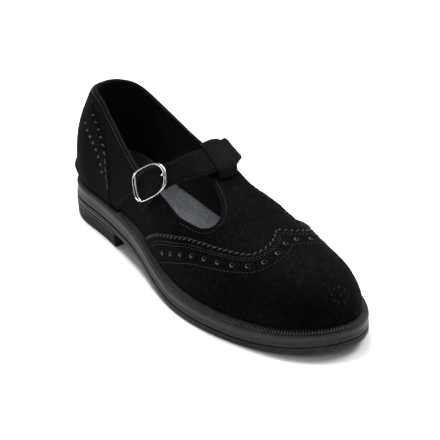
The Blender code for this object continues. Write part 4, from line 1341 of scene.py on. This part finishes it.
def make_midsole():
    """The sole's side: a groove at its foot, a shallow dent and a rounded rim."""
    foot = OUTSOLE + GAP
    wall = 9
    rings = [
        (GROOVE_DEPTH, lambda x: underside(x) + foot),
        (GROOVE_DEPTH * 1.05, lambda x: underside(x) + foot + GROOVE_HEIGHT * 0.5),
        (GROOVE_DEPTH, lambda x: underside(x) + foot + GROOVE_HEIGHT),
        (GROOVE_DEPTH * 0.25, lambda x: underside(x) + foot + GROOVE_HEIGHT * 1.35),
        (0.0, lambda x: underside(x) + foot + GROOVE_HEIGHT * 1.8),
    ]
    low = foot + GROOVE_HEIGHT * 1.8
    for k in range(1, wall):
        share = k / wall
        dent = SIDE_DENT * math.sin(math.pi * share) ** 2
        rings.append((dent, lambda x, s=share: underside(x) + low + (side_height(x) - RIM_ROUND * 1.6 - low) * s))
    rings += [
        (0.0, lambda x: sole_top(x) - RIM_ROUND * 1.6),
        (RIM_ROUND * 0.12, lambda x: sole_top(x) - RIM_ROUND * 0.9),
        (RIM_ROUND * 0.40, lambda x: sole_top(x) - RIM_ROUND * 0.35),
        (RIM_ROUND, lambda x: sole_top(x)),
    ]
    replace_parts(sole_layers("midsole_dressed", rings), "midsole")


def make_heel():
    """The stacked heel with the grooves between its lifts and an upright breast."""
    top = HEEL_HEIGHT - GAP
    grooves = FINE_HEEL_GROOVES
    profile = [(SOLE_EDGE_ROUND + HEEL_TUCK, 0.0), (HEEL_TUCK * 1.1, SOLE_EDGE_ROUND * 0.6)]
    for k in range(grooves):
        middle = top * (k + 1) / (grooves + 1)
        share = middle / top
        tuck = HEEL_TUCK * (1 - share)
        half = LIFT_GROOVE_HALF
        profile += [
            (tuck, middle - half),
            (tuck + LIFT_GROOVE_DEPTH, middle - half * 0.55),
            (tuck + LIFT_GROOVE_DEPTH, middle + half * 0.55),
            (tuck, middle + half),
        ]
    profile += [(0.0, top * 0.97), (0.0003, top)]
    count = 90
    rings = []
    for inset, height in profile:
        turn = np.linspace(0, math.pi / 2, count)
        x = inset + (HEEL_LENGTH - inset) * (1 - np.cos(turn))
        lateral = plan_centre(x) - half_width(LATERAL, x, inset, inset, inset)
        medial = plan_centre(x) + half_width(MEDIAL, x, inset, inset, inset)
        z = np.full(count, height)
        rings.append(np.concatenate([np.stack([x, lateral, z], 1), np.stack([x, medial, z], 1)[::-1]]))
    faces = strips(rings) + ladder_caps(0, count) + ladder_caps((len(rings) - 1) * 2 * count, count)
    add_piece("heel_dressed", np.concatenate(rings), faces, [SOLE_RUBBER], None, ("heel_block",))


def inward_of(row):
    """Level unit directions into the outline from a row that runs round it, smoothed along the row."""
    heading = np.gradient(row[:, :2], axis=0)
    inward = np.stack([-heading[:, 1], heading[:, 0]], 1)
    inward /= np.hypot(inward[:, 0], inward[:, 1])[:, None]
    padded = np.pad(inward, ((RIB_SAMPLES, RIB_SAMPLES), (0, 0)), mode="edge")
    spread_over = np.ones(2 * RIB_SAMPLES + 1)
    inward = np.stack([np.convolve(padded[:, i], spread_over, mode="valid") for i in (0, 1)], 1)
    return inward / np.hypot(inward[:, 0], inward[:, 1])[:, None]


def welt_edge():
    """The welt's outer edge in plan, from the lateral waist round the toe to the medial waist."""
    turn = np.linspace(0, math.pi / 2, 900)
    x = WELT_START + (LENGTH - WELT_OUT - WELT_START) * np.sin(turn)
    lateral, medial = (
        np.stack([x, plan_centre(x) + side * half_width(side, x, WELT_OUT, WELT_OUT)], 1)
        for side in (LATERAL, MEDIAL)
    )
    return np.concatenate([lateral, medial[::-1][1:]])


def make_welt():
    """The ribbed welt, with its true rib pitch, from waist to waist round the toe, with painted shade in the grooves
    between its ribs.
    """
    edge = welt_edge()
    way = np.concatenate([[0.0], np.cumsum(np.hypot(*np.diff(edge, axis=0).T))])
    count = int(way[-1] / FINE_RIB_PITCH) * RIB_SAMPLES + 1
    wanted = np.linspace(0, way[-1], count)
    x, y = (np.interp(wanted, way, edge[:, i]) for i in (0, 1))
    phase = (np.arange(count) % RIB_SAMPLES) / RIB_SAMPLES
    fade = np.clip((x - WELT_START) / 0.004, 0, 1)
    groove = FINE_RIB_DEPTH * fade * (1 - np.abs(np.sin(math.pi * phase)) ** 0.6)
    inward = inward_of(np.stack([x, y], 1))
    inward = np.concatenate([inward, np.zeros((count, 1))], 1)
    start = np.stack([x, y, sole_top(x) + GAP], 1)
    outer = start + inward * groove[:, None] * 0.5
    outer[:, 2] += WELT_EDGE * 0.9 - groove * 0.4 - GAP
    foot = start + inward * (welt_width(x) - WELT_OUT + WELT_UNDER)[:, None]
    foot[:, 2] = sole_top(foot[:, 0]) + GAP
    crest = foot.copy()
    crest[:, 2] += WELT_RISE - GAP - groove * 0.3
    shoulder = outer + (crest - outer) * 0.22
    shoulder[:, 2] += 0.00042 - groove * 0.8
    middle = outer + (crest - outer) * 0.60
    middle[:, 2] += 0.00030 - groove * 0.9
    rows = [start, outer, shoulder, middle, crest, foot]
    points = np.concatenate(rows)
    faces = []
    for row in range(len(rows)):
        after = (row + 1) % len(rows)
        for i in range(count - 1):
            faces.append((row * count + i, row * count + i + 1, after * count + i + 1, after * count + i))
    faces.append(tuple(row * count for row in range(len(rows))))
    faces.append(tuple(row * count + count - 1 for row in reversed(range(len(rows)))))
    # The faces down in each groove take the near-black rubber: painted shade between the ribs.
    slots = [int(i % RIB_SAMPLES in (0, RIB_SAMPLES - 1)) for _ in rows for i in range(count - 1)] + [0, 0]
    add_piece("welt_dressed", points, faces, [WELT_RUBBER, WELT_GROOVE_PAINTED_SHADE], slots, ("welt",))


def make_insole():
    """The leather insole, slightly cupped towards its edge."""
    count = 150
    turn = np.linspace(0, math.pi, count)
    back = BACK_IN + TUCK + WALL + INSOLE_CLEAR * 0.35
    front = TIP - TUCK - WALL - INSOLE_CLEAR * 0.35
    x = back + (front - back) * (1 - np.cos(turn)) / 2
    inset = welt_width(x) + TUCK + WALL + INSOLE_CLEAR * 0.35
    toe_in = LENGTH - front
    lateral = plan_centre(x) - half_width(LATERAL, x, inset, toe_in, back)
    medial = plan_centre(x) + half_width(MEDIAL, x, inset, toe_in, back)
    across = 28
    share = np.linspace(0, 1, across)
    width = lateral[:, None] + (medial - lateral)[:, None] * share
    spots = np.stack([np.broadcast_to(x[:, None], width.shape), width], -1).reshape(-1, 2)
    border = np.concatenate([np.stack([x, lateral], 1), np.stack([x, medial], 1)])
    from_edge = nearest(spots, border).reshape(width.shape)
    heel_share = np.clip((CUP_END - x) / (CUP_END - CUP_FULL), 0, 1)
    heel_share = heel_share ** 2 * (3 - 2 * heel_share)
    cup = (EDGE_CUP + (HEEL_CUP - EDGE_CUP) * heel_share)[:, None] * np.exp(-(from_edge / CUP_WIDE) ** 2)
    top = (sole_top(x) + GAP + INSOLE_THICK - EDGE_CUP / 2)[:, None] + cup
    low = np.broadcast_to((sole_top(x) + GAP)[:, None], width.shape)
    along_x = np.broadcast_to(x[:, None], width.shape)
    upper_side = np.stack([along_x, width, top], -1).reshape(-1, 3)
    under_side = np.stack([along_x, width, low], -1).reshape(-1, 3)
    total = count * across
    faces = []
    for i in range(count - 1):
        for j in range(across - 1):
            a = i * across + j
            faces.append((a, a + across, a + across + 1, a + 1))
            faces.append((total + a, total + a + 1, total + a + across + 1, total + a + across))
        a, b = i * across, i * across + across - 1
        faces.append((a, total + a, total + a + across, a + across))
        faces.append((b, b + across, total + b + across, total + b))
    points = np.concatenate([upper_side, under_side])
    add_piece("insole_dressed", points, faces, [SOCK], None, ("insole",))


# Upper and its panels

def make_upper():
    """The upper: suede outside, lining inside and a cut edge round its openings."""
    fine_sheet("upper_dressed", upper_outline(), -WALL, 0.0, [VAMP_SUEDE, LINING, BINDING],
               stands_for=("upper",), step=0.0022, edge=0.0016)


def wing_line():
    """The wing tip's edge, lateral to medial, as a smooth flat line."""
    rows = WING_EDGE[1:-1]
    peak = [k for k, row in enumerate(rows) if row[1] > -5][0]
    before = flat_line(rows[:peak + 1])
    after = flat_line(rows[peak:])
    return np.concatenate([before, after[1:]])


def medallion():
    """A plain punched rosette on the toe."""
    holes = []
    for radius, count, size in MEDALLION_RINGS:
        for turn in np.linspace(0, 2 * math.pi, count, endpoint=False):
            place = MEDALLION_PLACE * LENGTH + radius * math.cos(turn)
            pair = last_point(np.array([place, place]), np.array([-4.0, 4.0]))
            per_degree = np.linalg.norm(pair[1] - pair[0]) / 8
            holes.append(((place, radius * math.sin(turn) / per_degree * FLAT_PER_DEGREE), size))
    return holes


def brogue_row(line, sign):
    """Flat points of a brogued row: large holes, and pairs of small ones between them."""
    spots = beside(line, sign * BROGUE_IN, BROGUE_PITCH / 2, BROGUE_PITCH)
    aside = np.gradient(spots, axis=0)[:, ::-1] * [-1, 1]
    aside /= np.linalg.norm(aside, axis=1, keepdims=True)
    pairs = np.concatenate([spots[1::2] + aside[1::2] * SMALL_SPREAD, spots[1::2] - aside[1::2] * SMALL_SPREAD])
    return spots[0::2], pairs


def make_wing(rows, pale):
    """The wing tip with its scalloped edge, brogued band, second seam and toe rosette."""
    lift = WELT_RISE + 1.2 * GAP
    line = wing_line()
    crest = as_outline(scalloped(line, SCALLOP_PITCH, SCALLOP_DEEP, 1.0))
    lateral = foot_line(LATERAL, np.linspace(WING_EDGE[0][0] * LENGTH, DOME, 60), lift)
    medial = foot_line(MEDIAL, np.linspace(WING_EDGE[-1][0] * LENGTH, DOME, 60), lift)
    front = np.linspace(DOME, TIP_PLACE, 2000)[1:]
    meeting = front[last_point(front, 0.0)[:, 2] > sole_top(along(front)) + lift][-1]
    high = DOME + (meeting - DOME) * np.sin(np.linspace(0, math.pi / 2, 40))[1:-1]
    tip = foot_line(LATERAL, high, lift) + [(meeting, 0.0)] + foot_line(MEDIAL, high[::-1], lift)
    outline = lateral + tip + medial[::-1] + crest[::-1]
    trimmed = line[12:-12]
    large, small = brogue_row(trimmed, -1.0)
    rosette = medallion()
    holes = punched(large, LARGE_HOLE) + punched(small, SMALL_HOLE)
    for spot, size in rosette:
        holes += punched([spot], size)
    top = PANEL_LIFT + PANEL
    fine_sheet("wing_dressed", outline, SKIN, top, [PANEL_SUEDE, PANEL_SUEDE, CUT_EDGE],
               holes, stands_for=("wing_tip",), edge_keep=0.85, edge=PINKED_EDGE)
    # The lips' pale leather is a painted highlight on the hole rims.
    lips("wing_hole_lips", large, top, LARGE_HOLE, HOLE_LIP_PAINTED_HIGHLIGHT)
    bright = [spot for spot, size in rosette if size > SMALL_HOLE * 1.4]
    lips("rosette_lips", bright, top, SMALL_HOLE * 1.6, ROSETTE_LIP_PAINTED_HIGHLIGHT, 0.00022)
    pale += [(seam(line[6:-6], -0.0020), top), (seam(line[6:-6], -0.0034), top)]
    pale.append((seam(trimmed, -BAND_WIDE), top))
    return [(stitched(parallel(line[4:-4], SCALLOP_DEEP * 0.35), SCALLOP_PITCH, CORD_LENGTH, CORD_SLANT), top)]


def counter_line(side):
    """The counter's front edge on one side, from the collar to the sole, as a smooth flat line."""
    edge = below_collar(side, as_outline(flat_line(COUNTER_EDGE[:-1], side)))
    return np.array([flat(*p) for p in edge])


def make_counter(cord):
    """The heel counter with its scalloped and brogued front edge."""
    outline, holes, dots = [], [], []
    top = COUNTER_EDGE[0][0] * LENGTH
    low = COUNTER_EDGE[-1][0] * LENGTH
    lift = PANEL_LIFT + COUNTER_PANEL - 0.0003
    for side, turn in ((LATERAL, 1), (MEDIAL, -1)):
        foot = foot_line(side, np.linspace(BACK_PLACE, low, 60), PANEL_FOOT * 0.6)
        crest = topline(side, np.linspace(top, BACK_PLACE, 50), COLLAR_DROP)
        line = counter_line(side)
        out = -1.0 if side > 0 else 1.0
        edge = as_outline(scalloped(line, SCALLOP_PITCH, SCALLOP_DEEP, out))
        outline += (foot + edge[::-1] + crest)[::turn]
        spots = beside(line, -out * COUNTER_IN, COUNTER_HOLE_PITCH, BROGUE_PITCH)
        dots.append(spots)
        holes += punched(spots, COUNTER_HOLE)
        teeth = parallel(line, out * SCALLOP_DEEP * 0.35)[TEETH_START:]
        cord.append((stitched(teeth, COUNTER_CORD_PITCH, CORD_LENGTH, CORD_SLANT * out), lift))
    fine_sheet("counter_dressed", outline, PANEL_LIFT * 0.5, lift, [PANEL_SUEDE, PANEL_SUEDE, CUT_EDGE], holes,
               stands_for=("heel_counter",), edge_keep=0.85, edge=PINKED_EDGE)
    # The lips' pale leather is a painted highlight on the hole rims.
    lips("counter_hole_lips", np.concatenate(dots), lift, COUNTER_HOLE, HOLE_LIP_PAINTED_HIGHLIGHT)


def make_quarter(name, side, rows):
    """One quarter, lapped under the counter, with a seam along its front edge."""
    under = [(place - 0.004, angle) for place, angle in edge_line(COUNTER_EDGE, side)]
    front = flat_line(QUARTER_EDGE, side)
    foot = foot_line(side, np.linspace(under[-1][0], QUARTER_EDGE[0][0] * LENGTH, 20), PANEL_FOOT * 0.6)
    crest = topline(side, np.linspace(QUARTER_EDGE[-1][0] * LENGTH, under[0][0], 50), COLLAR_DROP)
    under = below_collar(side, under[1:-1])
    outline = foot + as_outline(front)[1:] + crest + under
    fine_sheet(name + "_dressed", outline, SKIN, PANEL_LIFT + PANEL - 0.0005,
               [PANEL_SUEDE, PANEL_SUEDE, CUT_EDGE], stands_for=(name,),
               edge_keep=0.8)
    inward = 1.0 if side < 0 else -1.0
    lift = PANEL_LIFT + PANEL - 0.0005
    kept = front[:-QUARTER_TRIM]
    rows.append((seam(kept, inward * 0.0020), lift))


def throat_seams(rows, pale):
    """Seams along the throat and up both sides of the T-bar."""
    for side in (LATERAL, MEDIAL):
        line = flat_line([row for row in THROAT], side)
        onto_vamp = -1.0 if side < 0 else 1.0
        pale.append((seam(line, onto_vamp * 0.0021), 0.0))


def make_binding():
    """The rolled edge round the collar, the throat and the T-bar."""
    half = {}
    for side in (LATERAL, MEDIAL):
        places = np.linspace(BACK_PLACE, TOPLINE_MEDIAL[-1][0] * LENGTH, 90)
        points = [flat(*p) for p in topline(side, places)]
        points += [flat(*p) for p in edge_line(THROAT, side)]
        points.append(flat(BAR_END, side * THROAT[-1][1]))
        half[side] = steps_along(points, 0.0016)[0]
    path = np.concatenate([half[LATERAL][::-1], half[MEDIAL][1:]])
    place, angle = path[:, 0], path[:, 1] / FLAT_PER_DEGREE
    middle = surface(place, angle, np.full(len(path), -WALL / 2))
    for _ in range(3):
        middle[1:-1] = (middle[:-2] + 2 * middle[1:-1] + middle[2:]) / 4
    out = last_normal(place, angle)
    tube("collar_binding", middle, out, BINDING_WIDE, WALL + BINDING_PROUD, [BINDING], sides=10)


def strap_edges():
    """The strap's two edges as smooth flat lines, from the buckle to the medial side."""
    return flat_line(STRAP_FRONT), flat_line(STRAP_BACK)


def make_strap(rows):
    """The strap with a seam along each edge."""
    front, back = strap_edges()
    outline = as_outline(front) + as_outline(back)[::-1]
    # The strap's paler suede is painted light, a lit copy of the vamp's suede.
    fine_sheet("strap_dressed", outline, STRAP_LIFT, STRAP_LIFT + STRAP_THICK, [STRAP_SUEDE_PAINTED_LIGHT, LINING, CUT_EDGE],
               step=0.0014, edge=0.0010, stands_for=("strap",), edge_keep=0.72)
    lift = STRAP_LIFT + STRAP_THICK
    for line, aside in ((front, 0.0019), (back, -0.0019)):
        past_buckle = line[line[:, 1] > SEAM_FROM * FLAT_PER_DEGREE]
        rows.append((seam(past_buckle, aside), lift))


def make_loop():
    """The end of the T-bar, folded over the strap."""
    low = GAP + LOOP_THICK / 2
    high = STRAP_LIFT + STRAP_THICK + GAP + LOOP_THICK / 2
    behind = BAR_END - GAP - LOOP_THICK / 2
    path = [(place * LENGTH, low + (high - low) * rise) for place, rise in LOOP_LINE]
    path += [(behind + LOOP_THICK * 0.5, high * 0.8), (behind, high * 0.45), (behind, -WALL)]
    path = np.array(path)
    way = np.concatenate([[0.0], np.cumsum(np.hypot(*np.diff(path, axis=0).T))])
    fine = np.linspace(0, way[-1], 90)
    place = np.interp(fine, way, path[:, 0])
    lift = np.interp(fine, way, path[:, 1])
    for _ in range(4):
        place[1:-1] = (place[:-2] + 2 * place[1:-1] + place[2:]) / 4
        lift[1:-1] = (lift[:-2] + 2 * lift[1:-1] + lift[2:]) / 4
    across = np.linspace(LOOP_LATERAL, LOOP_MEDIAL, 25) / LOOP_HALF
    edge_share = np.linspace(-1, 1, 25)
    centre = offset_point(place, np.zeros(len(fine)), lift)
    heading = np.gradient(centre, axis=0)
    heading /= np.linalg.norm(heading, axis=1, keepdims=True)
    aside = np.tile([0.0, 1.0, 0.0], (len(fine), 1))
    through = np.cross(aside, heading)
    through /= np.linalg.norm(through, axis=1, keepdims=True)
    sag = LOOP_SAG * np.abs(edge_share) ** 2.2
    wide = np.full(len(fine), LOOP_HALF)
    top = centre[:, None] + aside[:, None] * (across[None, :, None] * wide[:, None, None])
    top = top - through[:, None] * sag[None, :, None]
    edge = (LOOP_THICK / 2) * (1 - np.abs(edge_share) ** 8 * 0.55)
    outer = top + through[:, None] * edge[None, :, None]
    inner = top - through[:, None] * edge[None, :, None]
    rows, columns = len(fine), len(across)
    total = rows * columns
    faces, slots = [], []
    for r in range(rows - 1):
        for c in range(columns - 1):
            a = r * columns + c
            faces.append((a, a + 1, a + columns + 1, a + columns))
            slots.append(0)
            faces.append((total + a, total + a + columns, total + a + columns + 1, total + a + 1))
            slots.append(1)
        a, b = r * columns, r * columns + columns - 1
        faces.append((a, a + columns, total + a + columns, total + a))
        faces.append((b, total + b, total + b + columns, b + columns))
        slots += [2, 2]
    for c in range(columns - 1):
        a, b = c, (rows - 1) * columns + c
        faces.append((a, total + a, total + a + 1, a + 1))
        faces.append((b, b + 1, total + b + 1, total + b))
        slots += [2, 2]
    points = np.concatenate([outer.reshape(-1, 3), inner.reshape(-1, 3)])
    # The loop's paler suede is painted light, a lit copy of the vamp's suede.
    add_piece("loop_dressed", points, faces, [LOOP_SUEDE_PAINTED_LIGHT, LINING, LOOP_SUEDE_PAINTED_LIGHT], slots, ("bar_loop",))


def buckle_route(count=96):
    """The frame's centre line, flat: a full round at the prong's end and fuller corners at the hinge."""
    turn = np.linspace(0, 2 * math.pi, count, endpoint=False)
    power = np.where(np.cos(turn) > 0, 2 / BUCKLE_FRONT_FULL, 2 / BUCKLE_BACK_FULL)
    ahead = np.sign(np.cos(turn)) * np.abs(np.cos(turn)) ** power * (BUCKLE_LONG / 2 - BUCKLE_THIN)
    aside = np.sign(np.sin(turn)) * np.abs(np.sin(turn)) ** power * (BUCKLE_WIDE / 2 - BUCKLE_THIN)
    closed = np.stack([ahead, aside], 1)
    closed = np.concatenate([closed, closed[:1]])
    return steps_along(closed, np.hypot(*np.diff(closed, axis=0).T).sum() / count)[0][:-1]


def make_buckle():
    """The polished frame, wider at its front bar, with its hinge bar near the back."""
    middle, ahead, across, out = buckle_frame_axes()
    flat_points = buckle_route()
    reach = BUCKLE_LONG / 2 - BUCKLE_THIN
    centres = middle + ahead * flat_points[:, :1] + across * flat_points[:, 1:]
    bend = (flat_points[:, 0] / reach) ** 2 * BUCKLE_BEND
    centres = centres - out * bend[:, None]
    front = np.clip((flat_points[:, 0] / reach - 0.55) / 0.4, 0, 1)
    wide = BUCKLE_THIN + (BUCKLE_BAR - BUCKLE_THIN) * front
    tube("buckle_dressed", centres, np.tile(out, (len(centres), 1)), wide, BUCKLE_THICK, [SILVER], 14, True,
         ("buckle_frame",), 0.75)
    hinge = -reach + HINGE_IN
    half = (BUCKLE_WIDE / 2 - BUCKLE_THIN) * (1 - abs(hinge / reach) ** BUCKLE_BACK_FULL) ** (1 / BUCKLE_BACK_FULL)
    along_bar = np.linspace(-1, 1, 17)[:, None]
    bowed = hinge - HINGE_BOW * (1 - along_bar ** 2)
    ends = middle + ahead * bowed + across * half * along_bar + out * BUCKLE_THICK * 0.1
    radius = HINGE_BAR * (1 + 1.1 * np.abs(along_bar[:, 0]) ** 14)
    tube("buckle_hinge", ends, np.tile(out, (len(ends), 1)), radius, radius, [SILVER], 12)


def make_prong():
    """The prong's tip, out of its hole in the strap and over the frame's front bar."""
    middle, ahead, across, out = buckle_frame_axes()
    share = np.linspace(0, 1, 16)
    start = BUCKLE_LONG / 2 - PRONG_SHOWN
    reach = start + (PRONG_SHOWN + BUCKLE_BAR * 0.15) * share
    rise = -STRAP_THICK * 0.8 + (BUCKLE_THICK * 0.5 + STRAP_THICK * 0.8 + PRONG_THICK * 0.35) * np.sin(share * math.pi / 2)
    centres = middle + ahead * reach[:, None] + out * rise[:, None]
    size = PRONG_THICK * (1.25 - 0.35 * share ** 3)
    tube("prong_dressed", centres, np.tile(out, (len(share), 1)), size, size * 0.8, [SILVER], 12, False,
         ("buckle_prong",))


# Stage

def make_floor():
    """A wide pale floor."""
    mesh = bpy.data.meshes.new("floor")
    reach = FLOOR_REACH
    mesh.from_pydata([(-reach, -reach, 0), (reach, -reach, 0), (reach, reach, 0), (-reach, reach, 0)], [], [(0, 1, 2, 3)])
    mesh.materials.append(floor_paper("studio_paper"))
    floor = bpy.data.objects.new("floor", mesh)
    bpy.context.scene.collection.objects.link(floor)


def area_light(name, azimuth, elevation, distance, size, power, tint=(1.0, 1.0, 1.0)):
    """A soft square light, turned to the shoe."""
    data = bpy.data.lights.new(name, "AREA")
    data.shape = "RECTANGLE"
    data.size, data.size_y = size
    data.energy = power
    data.color = tint
    lamp = bpy.data.objects.new(name, data)
    turn, rise = math.radians(azimuth), math.radians(elevation)
    way = Vector((math.sin(turn) * math.cos(rise), -math.cos(turn) * math.cos(rise), math.sin(rise)))
    lamp.location = Vector((0, 0, 0.04)) + way * distance
    lamp.rotation_euler = way.to_track_quat("Z", "Y").to_euler()
    bpy.context.scene.collection.objects.link(lamp)


def make_lights():
    """A white room with a large light over the toe side and weaker ones round it."""
    world = bpy.data.worlds.new("studio")
    world.use_nodes = True
    nodes, links = world.node_tree.nodes, world.node_tree.links
    place = nodes.new("ShaderNodeTexCoord")
    parts = nodes.new("ShaderNodeSeparateXYZ")
    links.new(place.outputs["Generated"], parts.inputs["Vector"])
    sky = ramp(nodes, links, parts.outputs["Z"], SKY)
    links.new(sky, nodes["Background"].inputs["Color"])
    nodes["Background"].inputs["Strength"].default_value = WORLD_LIGHT
    bpy.context.scene.world = world
    for row in LIGHTS:
        area_light(*row)


def make_camera():
    """The camera at the photograph's angle: far away, with a long lens."""
    turn, rise, roll = (math.radians(v) for v in (CAMERA_AZIMUTH, CAMERA_ELEVATION, CAMERA_ROLL))
    back = Vector((math.sin(turn) * math.cos(rise), -math.cos(turn) * math.cos(rise), math.sin(rise)))
    data = bpy.data.cameras.new("camera")
    data.sensor_width = SENSOR
    data.lens = CAMERA_LENS
    data.clip_end = 100.0
    camera = bpy.data.objects.new("camera", data)
    target = Vector(CAMERA_TARGET) - Vector(ROW_SHIFT)
    camera.location = target + back * CAMERA_DISTANCE
    camera.rotation_mode = "QUATERNION"
    level = back.to_track_quat("Z", "Y")
    camera.rotation_quaternion = level
    camera.rotation_mode = "XYZ"
    camera.rotation_euler.rotate_axis("Z", roll)
    bpy.context.scene.collection.objects.link(camera)
    bpy.context.scene.camera = camera
    bpy.context.scene.view_settings.view_transform = "Standard"


def main():
    """Builds every piece, the stage and the camera."""
    dark_rows, pale_rows, cord_rows = [], [], []
    make_outsole()
    make_midsole()
    make_heel()
    make_welt()
    make_insole()
    make_upper()
    cord_rows += make_wing(dark_rows, pale_rows)
    make_counter(cord_rows)
    make_quarter("quarter_lateral", LATERAL, dark_rows)
    make_quarter("quarter_medial", MEDIAL, dark_rows)
    throat_seams(dark_rows, pale_rows)
    make_strap(dark_rows)
    make_binding()
    make_loop()
    make_buckle()
    make_prong()
    add_stitches("seams_dark", dark_rows, THREAD, STITCH_RADIUS, STITCH_ARCH)
    add_stitches("seams_pale", pale_rows, PALE_THREAD, STITCH_RADIUS, STITCH_ARCH)
    # The pale edge cord is a painted highlight on the scalloped teeth.
    add_stitches("edge_cord", cord_rows, CORD_PAINTED_HIGHLIGHT, CORD_RADIUS, CORD_ARCH)
    make_floor()
    make_lights()
    make_camera()


main()
